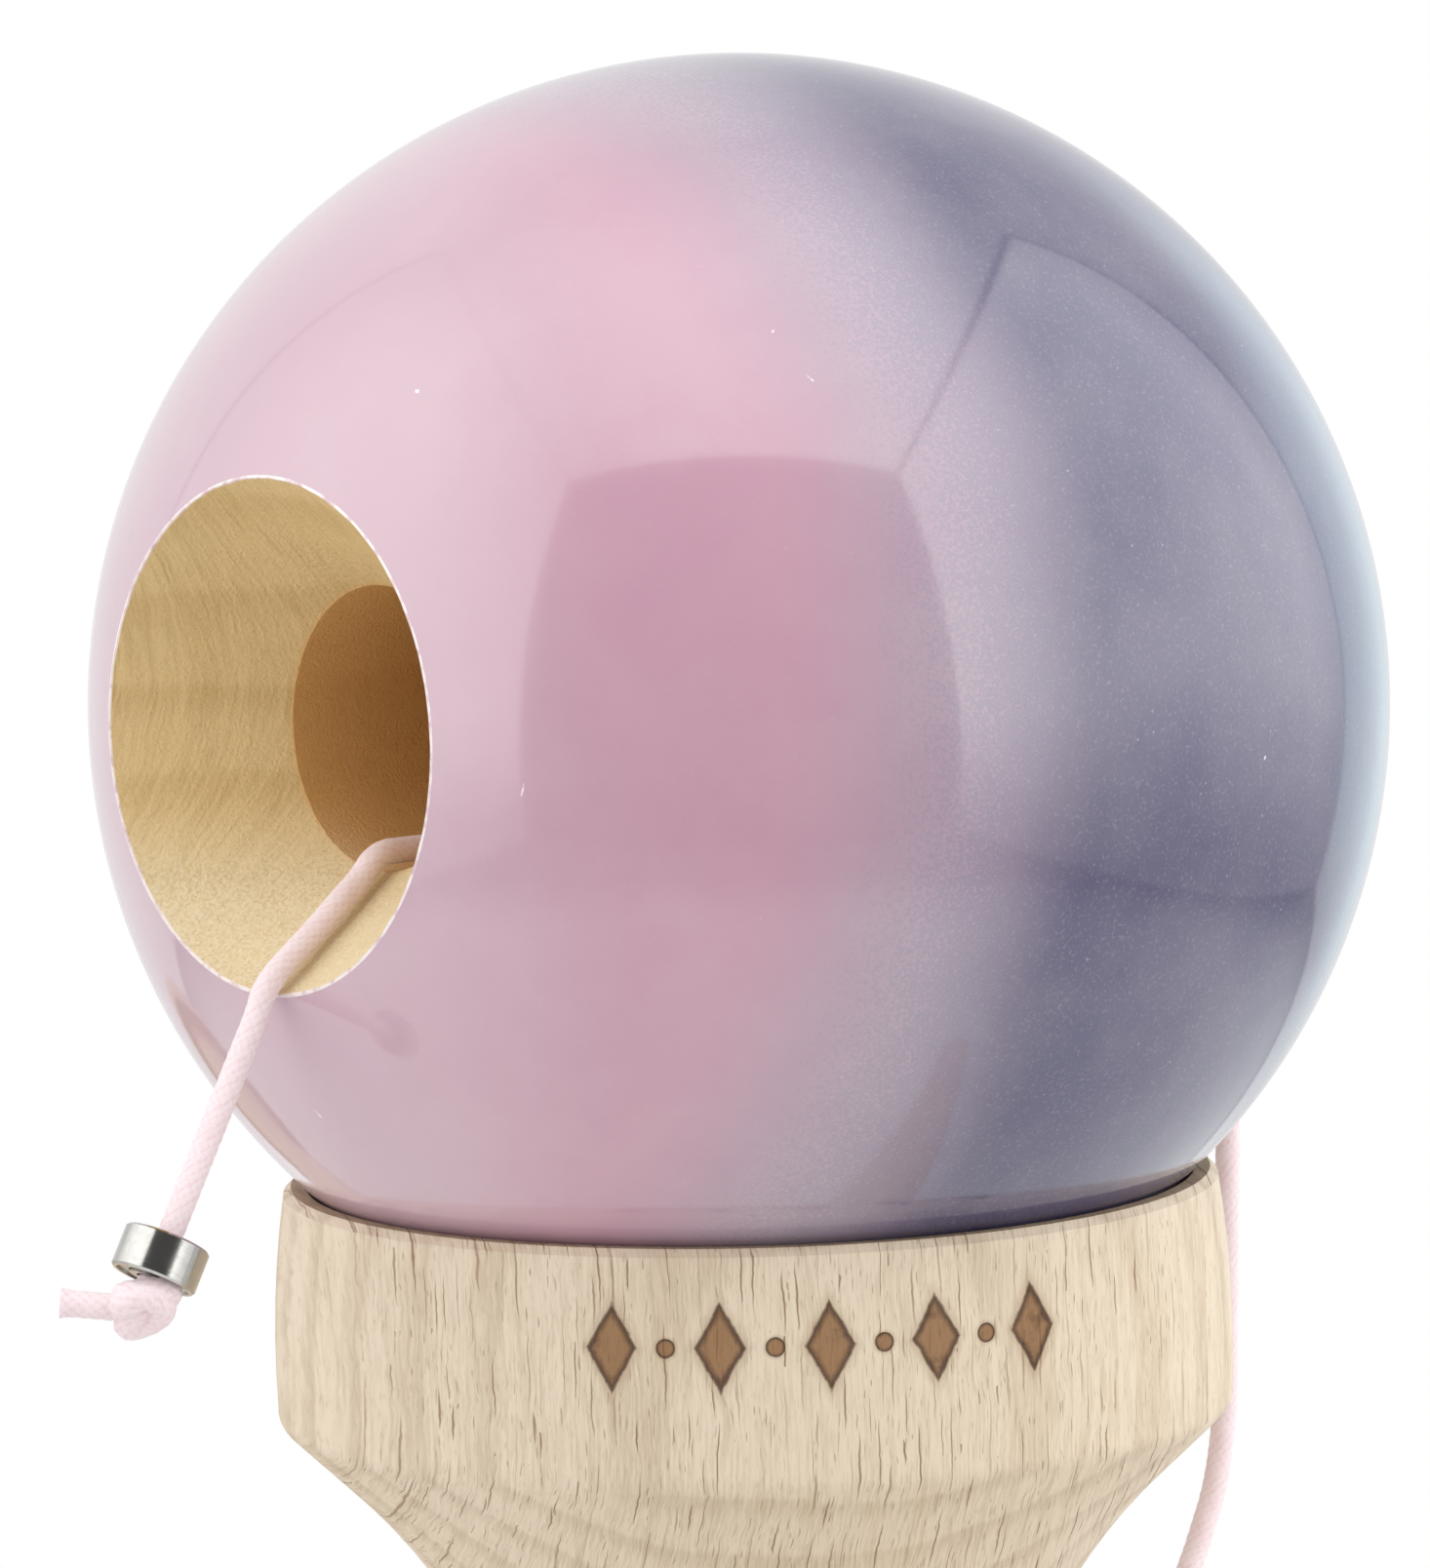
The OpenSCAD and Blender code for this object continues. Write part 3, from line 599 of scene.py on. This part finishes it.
def kenMaterial():
    material, tree, shader = startMaterial("beechHandle", specular=0.3)
    axes = apart(tree, placeInMm(tree, (0, 0, kenZ * mm)))
    face = apart(tree, put(tree, "TexCoord").outputs["Normal"])
    place = joined(tree, axes[1], axes[2], axes[0])  # grain runs along the handle
    grain = useBeech(tree, kenWood, place, joined(tree, face[1], face[2], face[0]))
    feed(tree, shader, "Base Color", grain["Color"])
    feed(tree, shader, "Roughness", grain["Roughness"])
    bumped(tree, shader, times(tree, grain["Height"], beech["relief"]), 0.8, 0.001)
    return material


def dress(node, material):
    mesh = nodes[node].data
    mesh.materials.clear()
    mesh.materials.append(material)


dress("cup_block", cupMaterial())
dress("ken", kenMaterial())
print("wood: cups and handle dressed")


# ball: lacquer sprayed from pink to slate, bare wood in the hole
paint = {
    "pink": (0.51, 0.281, 0.364, 1), "litPink": (0.555, 0.385, 0.45, 1), "slate": (0.070, 0.062, 0.135, 1),
    "mist": (0.40, 0.365, 0.43, 1), "edge": (0.86, 0.77, 0.75, 1), "speck": (0.62, 0.52, 0.58, 1),
    "dust": (0.9, 0.82, 0.82, 1), "dustWidth": 0.07, "gloss": 0.075, "coatIor": 1.65,
    "mistWidth": 0.26, "sideWay": (0.817, 0.0, -0.576), "offset": 0.258, "cloud": 0.11, "grit": 2.3,
    "tone": 0.06, "sag": 0.05, "sagBand": (-0.42, -0.08), "crest": 0.042, "crestBand": (0.35, 0.62),
    "edgeWidth": 0.07, "bareBand": 0.13,
    "cloudScale": 0.055, "toneScale": 0.11, "peelScale": 0.9, "speckScale": 1.3, "dropScale": 5.5,
}
lacquered, bareWood, paintRim = range(3)  # finishes of the ball's faces
# dust under the lacquer: right and up from the ball's middle as seen, angle, length in mm
dust = [(0.049, 0.548, 70, 0.5), (0.106, 0.476, -50, 0.6), (-0.479, 0.461, -35, 0.7), (-0.32, -0.13, 75, 1.3),
        (-0.635, -0.62, -60, 0.9), (0.786, -0.085, 40, 0.6)]


def fibreGroup():
    tree, given, made = startGroup("dustFibre", {
        "Place": (0, 0, 0), "Start": (0, 0, 0), "End": (0, 0, 1), "Width": 0.05}, {"Mask": "Float"})
    run = vectorCalc(tree, "SUBTRACT", given["End"], given["Start"])
    off = vectorCalc(tree, "SUBTRACT", given["Place"], given["Start"])
    share = ratio(tree, dot(tree, off, run), dot(tree, run, run), clamp=True)
    wander = times(tree, minus(tree, noiseAt(tree, given["Place"], 3.0), 0.5), 0.25)
    gap = vectorCalc(tree, "LENGTH", vectorCalc(tree, "SUBTRACT", off, scaled(tree, run, share)))
    gap = calc(tree, "ABSOLUTE", plus(tree, gap, wander))
    far = vectorCalc(tree, "LENGTH", off)
    near = calc(tree, "LESS_THAN", far, plus(tree, vectorCalc(tree, "LENGTH", run), 0.1))
    width = ratio(tree, gap, given["Width"])
    tree.links.new(times(tree, ramp(tree, width, 0.4, 1.0, 1.0, 0.0), near), made["Mask"])
    return tree


def shownOnBall(right, up):
    towards = math.sqrt(max(1 - right ** 2 - up ** 2, 0))
    return (right * shotRight + up * shotUp + towards * shotBack) * toy["ballRadius"]


def lacquerMaterial():
    material, tree, shader = startMaterial("sprayedLacquer", specular=0.15, coat=1.0, coatRough=paint["gloss"],
                                           coatIor=paint["coatIor"])
    place = placeInMm(tree, ballCentre)
    way = scaled(tree, place, 1 / toy["ballRadius"])
    right, up, towards = paint["sideWay"]
    sideWay = (right * shotRight + up * shotUp + towards * shotBack).normalized()
    side = dot(tree, way, tuple(sideWay))
    rise = dot(tree, way, tuple(shotUp))
    low = ramp(tree, rise, *paint["sagBand"], paint["sag"], 0.0)
    high = ramp(tree, rise, *paint["crestBand"], 0.0, paint["crest"])
    side = plus(tree, plus(tree, side, paint["offset"]), plus(tree, low, high))
    cloud = minus(tree, noiseAt(tree, place, paint["cloudScale"], 3.0, 0.55), 0.5)
    side = calc(tree, "MULTIPLY_ADD", cloud, paint["cloud"], side)
    mist = ramp(tree, side, -paint["mistWidth"], paint["mistWidth"])
    # spray droplets show where the two coats thin out
    drop = noiseAt(tree, place, paint["dropScale"], 3.0, 0.7)
    grit = ramp(tree, plus(tree, mist, times(tree, minus(tree, drop, 0.5), paint["grit"])), 0.2, 0.8)
    thin = times(tree, times(tree, mist, minus(tree, 1.0, mist)), 1.9)
    mask = plus(tree, mist, times(tree, minus(tree, grit, mist), thin), clamp=True)
    # painted light: the pink is paler and cooler towards the spike hole, on the side the light falls on most
    pale = ramp(tree, dot(tree, way, tuple(shotRight)), -0.52, -0.12, 0.85, 0.0)
    colour = mixed(tree, pale, paint["pink"], paint["litPink"])
    colour = mixed(tree, mask, colour, paint["slate"])
    colour = mixed(tree, times(tree, thin, 1.05), colour, paint["mist"])
    # pale specks, thickest in the mist
    cell = put(tree, "TexVoronoi", {"Vector": place, "Scale": paint["speckScale"], "Randomness": 1.0})
    luck = apart(tree, cell.outputs["Color"])
    speck = ramp(tree, cell.outputs["Distance"], 0.05, 0.11, 1.0, 0.0)
    speck = times(tree, speck, ramp(tree, luck[0], 0.82, 0.9))
    speck = times(tree, speck, ramp(tree, side, -0.5, 0.1, 0.05, 0.3))
    colour = mixed(tree, speck, colour, paint["speck"])
    grain = times(tree, ramp(tree, drop, 0.5, 0.75), ramp(tree, mist, 0.0, 0.4, 0.06, 0.16))
    colour = mixed(tree, grain, colour, paint["speck"])
    tone = noiseAt(tree, place, paint["toneScale"], 4.0, 0.6)
    colour = mixed(tree, ramp(tree, tone, 0.35, 0.7, 0.0, paint["tone"]), colour, paint["edge"])
    hair = 0.0
    for right, up, angle, length in dust:
        spot, turn = shownOnBall(right, up), math.radians(angle)
        reach = (math.cos(turn) * shotRight + math.sin(turn) * shotUp) * length / 2
        found = useGroup(tree, dustFibre, {
            "Place": place, "Start": tuple(spot - reach), "End": tuple(spot + reach),
            "Width": paint["dustWidth"]})
        hair = calc(tree, "MAXIMUM", found["Mask"], hair)
    colour = mixed(tree, times(tree, hair, 0.8), colour, paint["dust"])
    feed(tree, shader, "Base Color", colour)
    feed(tree, shader, "Roughness", ramp(tree, drop, 0.3, 0.7, 0.3, 0.4))
    peel = noiseAt(tree, place, paint["peelScale"], 2.0)
    bumped(tree, shader, plus(tree, peel, times(tree, hair, 3.0)), 0.25, 0.00003)
    return material


bore = {
    "pale": (0.77, 0.565, 0.285, 1), "deep": (0.61, 0.42, 0.185, 1), "ray": (0.30, 0.165, 0.07, 1),
    # colours on the next line are painted: shade for the deep bore, light for the bore's lower side
    "drilled": (0.80, 0.455, 0.16, 1), "litUnderside": (0.88, 0.75, 0.53, 1),
    "layerWay": (0.1, 0.995, 0), "ringPitch": 4.2, "rays": 0.3,
    "bevelEnd": (20.9, 21.3), "litUndersideBand": (-2.5, -7.5), "litUndersideReach": (17.0, 21.3),
    "fuzzScale": 5.0, "fleckScale": 3.4,
}


def boreMaterial():
    material, tree, shader = startMaterial("boredWood", specular=0.2)
    place = placeInMm(tree, ballCentre)
    axes = apart(tree, place)
    # layers lie level and run in along the hole
    grain = useBeech(tree, bore, joined(tree, axes[0], axes[2], axes[1]))
    fuzz = noiseAt(tree, place, bore["fuzzScale"], 4.0, 0.7)
    fleck = ramp(tree, noiseAt(tree, place, bore["fleckScale"], 4.0, 0.75), 0.56, 0.72, 0.0, 0.75)
    colour = mixed(tree, ramp(tree, fuzz, 0.45, 0.75, 0.0, 0.35), grain["Color"], bore["pale"])
    colour = mixed(tree, fleck, colour, bore["deep"])
    # painted shade: the straight bore behind the bevel is coloured darker and browner, standing in for the
    # shade and wood-coloured bounce light deep in the hole
    pitch = math.radians(toy["ballPitch"])
    inward = dot(tree, place, (0, -math.cos(pitch), math.sin(pitch)))
    colour = mixed(tree, ramp(tree, inward, *bore["bevelEnd"], 0.75, 0.0), colour, bore["drilled"])
    # painted light: the bore's lower side near the mouth faces up and is made paler, broken up by fibre noise
    litUnderside = times(tree, ramp(tree, axes[2], *bore["litUndersideBand"]), ramp(tree, fuzz, 0.35, 0.6, 0.3, 0.85))
    litUnderside = times(tree, litUnderside, ramp(tree, inward, *bore["litUndersideReach"]))
    colour = mixed(tree, litUnderside, colour, bore["litUnderside"])
    feed(tree, shader, "Base Color", colour)
    feed(tree, shader, "Roughness", ramp(tree, fuzz, 0.3, 0.7, 0.7, 0.9))
    bumped(tree, shader, fuzz, 0.8, 0.0002)
    return material


def edgeMaterial():
    material, tree, shader = startMaterial("paintEdge", specular=0.3)
    chip = noiseAt(tree, placeInMm(tree, ballCentre), 1.6, 3.0)
    colour = mixed(tree, ramp(tree, chip, 0.45, 0.7, 0.0, 0.6), paint["edge"], paint["pink"])
    feed(tree, shader, "Base Color", colour)
    feed(tree, shader, "Roughness", ramp(tree, chip, 0.3, 0.7, 0.35, 0.6))
    return material


# holes in mm: wide mouth with its bevel, straight bore, drill point, small string hole with its sink
hole = {
    "bevel": 6.6, "radius": 6.5, "depth": 40.0, "pointAngle": 31, "stringRadius": 1.5, "sinkRadius": 2.6,
    "sinkAt": -28.9,
}
lathe = {"round": 224, "arc": 144, "bevel": 14, "bore": 24, "point": 4, "sharpAngle": 24}


def ballProfile():
    # radius, height along the hole's axis, finish of the face that ends there
    big, mouth, edge, bevel = toy["ballRadius"], toy["mouthRadius"], paint["edgeWidth"], hole["bevel"]
    wide, small, sink = hole["radius"], hole["stringRadius"], hole["sinkRadius"]
    mouthAt, sinkAt = math.sqrt(big ** 2 - mouth ** 2), -math.sqrt(big ** 2 - sink ** 2)
    bevelAt, floorAt = mouthAt - bevel, mouthAt - hole["depth"]
    point = (wide - small) * math.tan(math.radians(hole["pointAngle"]))
    profile = [(small, floorAt - point, bareWood), (small, hole["sinkAt"], bareWood)]
    profile += [(sink - edge, sinkAt + edge, bareWood), (sink, sinkAt, paintRim)]
    first, last = math.asin(sink / big), math.pi - math.asin(mouth / big) - paint["bareBand"] / big
    arc, bevelSteps, boreSteps, pointSteps = (lathe[k] for k in ("arc", "bevel", "bore", "point"))
    for i in range(1, arc + 1):
        a = first + (last - first) * i / arc
        profile.append((big * math.sin(a), -big * math.cos(a), lacquered))
    slope = (mouth - wide) / bevel
    profile += [(mouth, mouthAt, paintRim), (mouth - edge * slope, mouthAt - edge, paintRim)]
    profile += [(mouth - bevel * slope * i / bevelSteps, mouthAt - bevel * i / bevelSteps, bareWood)
                for i in range(1, bevelSteps + 1)]
    profile += [(wide, bevelAt + (floorAt - bevelAt) * i / boreSteps, bareWood)
                for i in range(1, boreSteps + 1)]
    profile += [(wide + (small - wide) * i / pointSteps, floorAt - point * i / pointSteps, bareWood)
                for i in range(1, pointSteps + 1)]
    return profile


def lathePiece(name, profile, segments, matrix, materials, sharpAngle, ragged):
    closed = profile[:-1] if math.dist(profile[0][:2], profile[-1][:2]) < 1e-6 else profile
    verts, faces, finish = [], [], []
    for r, h, kind in closed:
        for k in range(segments):
            a = 2 * math.pi * k / segments
            rr = r + (ragged(a) if kind == paintRim else 0)
            verts.append(matrix @ Vector((rr * math.cos(a), rr * math.sin(a), h)) * mm)
    count = len(closed)
    for i in range(count):
        j = (i + 1) % count
        for k in range(segments):
            m = (k + 1) % segments
            faces.append((i * segments + k, i * segments + m, j * segments + m, j * segments + k))
            finish.append(closed[j][2])
    return addPiece(name, verts, faces, materials, sharpAngle, finish)


dustFibre = fibreGroup()
holeTilt = Matrix.Rotation(math.radians(90 - toy["ballPitch"]), 4, "X")
holeTilt = Matrix.Translation(Vector((0, 0, ballZ))) @ holeTilt
rng = np.random.default_rng(7)
wobble = [(rng.integers(5, 60), rng.uniform(0, 6.28), rng.uniform(0.001, 0.006)) for i in range(14)]
ballFinishes = [lacquerMaterial(), boreMaterial(), edgeMaterial()]
ball = lathePiece("drilledBall", ballProfile(), lathe["round"], holeTilt, ballFinishes, lathe["sharpAngle"],
                  lambda a: sum(size * math.sin(n * a + phase) for n, phase, size in wobble))
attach(ball, "drilled_ball")
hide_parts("ball")
print("ball: %d faces" % len(ball.data.polygons))


# bearing: ground steel rings, pressed brass cage; colour, lines per mm, roughness
bearing = {
    "groundSteel": ((0.55, 0.54, 0.515, 1), 14.0, 0.10), "polishedSteel": ((0.66, 0.66, 0.66, 1), 3.0, 0.05),
    "pressedBrass": ((0.78, 0.60, 0.30, 1), 8.0, 0.22),
}


def groundMetal(name, base, lines, rough):
    material, tree, shader = startMaterial(name, metal=1.0)
    place = placeInMm(tree, bearingCentre)
    rise = dot(tree, place, tuple(tailWay))
    turned = noiseAt(tree, joined(tree, times(tree, rise, lines), 0.0, 0.0), 1.0, 3.0, 0.6)
    smear = noiseAt(tree, place, 1.8, 3.0)
    dark = tuple(0.72 * c for c in base[:3]) + (1,)
    feed(tree, shader, "Base Color", mixed(tree, ramp(tree, smear, 0.35, 0.75, 0.0, 0.4), base, dark))
    ground = ramp(tree, turned, 0.3, 0.7, rough, rough + 0.1)
    feed(tree, shader, "Roughness", plus(tree, ground, ramp(tree, smear, 0.4, 0.7, 0.0, 0.06)))
    bumped(tree, shader, turned, 0.25, 0.00002)
    return material


steel, polished, brass = (groundMetal(name, *values) for name, values in bearing.items())
for name in ("bearing_outer_ring", "bearing_inner_ring", "bearing_shield_upper", "bearing_shield_lower"):
    dress(name, steel)
for i in range(6):
    dress("bearing_ball_%d" % (i + 1), polished)
dress("bearing_cage", brass)
print("bearing: rings, shields, cage and six balls dressed")


# tie: paper band once round the coil, its end lapped on top
tie = {
    "thick": 0.3, "corner": 0.5, "cornerSteps": 8, "lapFrom": 0.8, "lapLength": 1.15, "lapGap": 0.04,
    "lapSteps": 10, "lift": 0.5, "pale": (0.84, 0.81, 0.74, 1), "deep": (0.76, 0.72, 0.64, 1),
}


def paperMaterial():
    material, tree, shader = startMaterial("paperBand", specular=0.2)
    pulp = noiseAt(tree, placeInMm(tree), 4.0, 5.0, 0.7)
    feed(tree, shader, "Base Color", mixed(tree, ramp(tree, pulp, 0.35, 0.7), tie["deep"], tie["pale"]))
    feed(tree, shader, "Roughness", ramp(tree, pulp, 0.3, 0.7, 0.75, 0.92))
    bumped(tree, shader, pulp, 0.4, 0.00004)
    return material


def bandLoop(halfWide, halfTall, corner, steps):
    loop = []
    for cx, cy, start in ((1, 1, 0), (-1, 1, 90), (-1, -1, 180), (1, -1, 270)):
        for i in range(steps + 1):
            a = math.radians(start + 90 * i / steps)
            loop.append((cx * (halfWide - corner) + corner * math.cos(a),
                         cy * (halfTall - corner) + corner * math.sin(a)))
    return loop


def tiePiece():
    low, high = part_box("string_tie")
    middle, half = (low + high) / 2 / mm, (high - low) / 2 / mm
    outer = bandLoop(half.y, half.z, tie["corner"] + tie["thick"], tie["cornerSteps"])
    inner = bandLoop(half.y - tie["thick"], half.z - tie["thick"], tie["corner"], tie["cornerSteps"])
    across = np.linspace(-half.x, half.x, 7)
    count = len(outer)
    verts, faces = [], []
    for loop in (outer, inner):
        for x in across:
            verts += [(middle + Vector((x, y, z))) * mm for y, z in loop]
    rows = len(across)
    for sheet, flip in ((0, False), (1, True)):
        for i in range(rows - 1):
            for k in range(count):
                base, m = sheet * rows * count + i * count, (k + 1) % count
                face = (base + k, base + m, base + count + m, base + count + k)
                faces.append(face[::-1] if flip else face)
    for i, flip in ((0, True), (rows - 1, False)):
        for k in range(count):
            m = (k + 1) % count
            a, b = i * count, rows * count + i * count
            face = (a + k, a + m, b + m, b + k)
            faces.append(face[::-1] if flip else face)
    # the end laps over the top and stands off a little
    first, steps = len(verts), tie["lapSteps"]
    for i in range(steps + 1):
        u = i / steps
        y = half.y * (tie["lapFrom"] - tie["lapLength"] * u)
        z = half.z + tie["lapGap"] + tie["lift"] * u ** 3
        for x, dz in ((-half.x, 0), (half.x, 0), (half.x, tie["thick"]), (-half.x, tie["thick"])):
            verts.append((middle + Vector((x, y, z + dz))) * mm)
    for i in range(steps):
        for k in range(4):
            a, m = first + 4 * i, (k + 1) % 4
            faces.append((a + k, a + 4 + k, a + 4 + m, a + m))
    faces += [tuple(first + k for k in (0, 1, 2, 3)), tuple(first + 4 * steps + k for k in (3, 2, 1, 0))]
    return addPiece("coilTie", verts, faces, [paperMaterial()], sharpAngle=40)


coilTie = tiePiece()
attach(coilTie, "ken_and_cups")
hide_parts("string_tie")
print("tie: paper band round the coil")


def pathOf(line, every):
    return [tuple(p) for p in line[::every]] + [tuple(line[-1])]


# the string's three stretches, their ends and paths as point lists
tuple(tailLine[0])
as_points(pathOf(tailLine, 4))
tuple(dropLine[-1])
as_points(pathOf(dropLine, 4))
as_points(pathOf(coilLine, 3))


# stage: pale floor that fades out, a box of soft panels with an open front
stage = {
    "half": 0.205, "front": 1.34, "back": -0.78, "bottom": -0.455, "high": 1.55, "seam": 0.014,
    "left": 1.27, "right": 1.44, "top": 1.35, "rear": 0.455, "cool": 0.34, "fill": 0.5,
    "opening": 0.09, "room": 0.3,
    "topColour": (0.94, 1.0, 0.99), "topMiddle": 0.27, "topDepth": 2.1,
    "coolColour": (0.55, 0.92, 1.0), "coolPlace": (0.6, -0.76, 0.02), "coolSize": (0.8, 1.1),
    "floor": (0.81, 0.81, 0.81, 1), "floorFade": (0.16, 0.26), "floorRings": (0.0005, 0.1, 0.2, 0.27),
    "floorSides": 96, "floorDrop": 0.00002,
}
# fades on a panel: axis, from where, to where, share of light left at the start
fades = {
    "left": [(1, 0.0, 0.3, 0.3), (1, 1.0, 0.5, 0.76), (0, 0.0, 0.45, 0.4)],
    "right": [(1, 0.0, 0.31, 0.22), (0, 1.0, 0.85, 0.6)],
    "top": [(1, 0.0, 0.5, 0.42), (0, 1.0, 0.55, 0.72)],
    "cool": [(0, 1.0, 0.65, 0.0), (1, 0.0, 0.3, 0.0), (1, 1.0, 0.7, 0.0)],
}
frontWay = Vector((shotBack.x, shotBack.y, 0)).normalized()


def softPanel(name, centre, facing, width, height, radiance, dim=()):
    data = bpy.data.lights.new(name, "AREA")
    data.shape, data.size, data.size_y = "RECTANGLE", width, height
    data.energy = 4 * radiance * width * height
    if dim:
        data.use_nodes = True
        tree = data.node_tree
        emission = next(n for n in tree.nodes if n.type == "EMISSION")
        spot = apart(tree, put(tree, "NewGeometry").outputs["Parametric"])
        level = 1.0
        for axis, start, end, share in dim:
            level = times(tree, ramp(tree, spot[axis], start, end, share, 1.0), level)
        tree.links.new(level, emission.inputs["Strength"])
    lamp = bpy.data.objects.new(name, data)
    z = -Vector(facing).normalized()
    y = zAxis if abs(z.z) < 0.9 else frontWay
    x = y.cross(z).normalized()
    lamp.matrix_world = Matrix.Translation(centre) @ Matrix((x, z.cross(x), z)).transposed().to_4x4()
    lamp.visible_camera = False
    bpy.context.scene.collection.objects.link(lamp)
    return lamp


def spotInTent(right, front, up):
    return ballCentre + stage["half"] * (right * shotLevel + front * frontWay + up * zAxis)


def lightTent():
    half, depth = stage["half"], stage["front"] - stage["back"]
    midDepth, midHeight = (stage["front"] + stage["back"]) / 2, (stage["high"] + stage["bottom"]) / 2
    tall = (stage["high"] - stage["bottom"]) * half
    seam = 2 * stage["seam"] * half
    deep, tall, wide = depth * half - seam, tall - seam, 2 * half - seam
    for name, way in (("right", 1), ("left", -1)):
        softPanel(name + "Panel", spotInTent(way, midDepth, midHeight), -way * shotLevel,
                  deep, tall, stage[name], fades[name])
    top = softPanel("topPanel", spotInTent(-stage["seam"], stage["topMiddle"], stage["high"]), -zAxis,
                    wide, stage["topDepth"] * half, stage["top"], fades["top"])
    top.data.color = stage["topColour"]
    softPanel("rearPanel", spotInTent(0, stage["back"], midHeight + stage["seam"] / 2), frontWay,
              wide, tall + seam / 2, stage["rear"])
    # a cool patch in front of the rear panel, for the ball's right edge
    coolWide, coolTall = stage["coolSize"]
    cool = softPanel("coolPanel", spotInTent(*stage["coolPlace"]), frontWay,
                     coolWide * half, coolTall * half, stage["cool"], fades["cool"])
    cool.data.color = stage["coolColour"]
    fill = softPanel("frontFill", spotInTent(0, stage["front"], midHeight), -frontWay,
                     wide, tall, stage["fill"])
    fill.visible_glossy = False  # only softens the shadows


def roomLight():
    world = bpy.data.worlds.new("room")
    bpy.context.scene.world = world
    world.use_nodes = True
    tree = world.node_tree
    background = next(n for n in tree.nodes if n.type == "BACKGROUND")
    way = put(tree, "TexCoord").outputs["Generated"]
    front = calc(tree, "MAXIMUM", dot(tree, way, tuple(frontWay)), 0.001)
    across = calc(tree, "ABSOLUTE", ratio(tree, dot(tree, way, tuple(shotLevel)), front))
    rise = ratio(tree, dot(tree, way, (0, 0, 1)), front)
    wide, low, high = (edge / stage["front"] for edge in (1, stage["bottom"], stage["high"]))
    opening = ramp(tree, rise, low - 0.02, low + 0.02)
    opening = times(tree, opening, ramp(tree, rise, high - 0.03, high + 0.03, 1.0, 0.0))
    opening = times(tree, ramp(tree, across, wide - 0.02, wide + 0.02, 1.0, 0.0), opening)
    level = ramp(tree, opening, 0.0, 1.0, stage["room"], stage["opening"])
    seen = put(tree, "LightPath").outputs["Is Camera Ray"]
    tree.links.new(calc(tree, "MAXIMUM", level, seen), background.inputs["Strength"])
    background.inputs["Color"].default_value = (1, 1, 1, 1)


def paleFloor():
    material, tree, shader = startMaterial("paleFloor", rough=0.7, specular=0.1, base=stage["floor"])
    far = vectorCalc(tree, "LENGTH", put(tree, "TexCoord").outputs["Object"])
    feed(tree, shader, "Alpha", ramp(tree, far, *stage["floorFade"], 1.0, 0.0))
    rings, sides = stage["floorRings"], stage["floorSides"]
    turns = [2 * math.pi * k / sides for k in range(sides)]
    verts = [(r * math.cos(a), r * math.sin(a), -stage["floorDrop"]) for r in rings for a in turns]
    faces = [tuple(range(sides))] + [face[::-1] for face in ringFaces(len(rings), sides)]
    floor = addPiece("paleFloor", verts, faces, [material])


lightTent()
roomLight()
paleFloor()
view = bpy.context.scene.view_settings
view.view_transform, view.look, view.exposure, view.gamma = "Standard", "None", 0.0, 1.0
print("stage: floor and six panels")
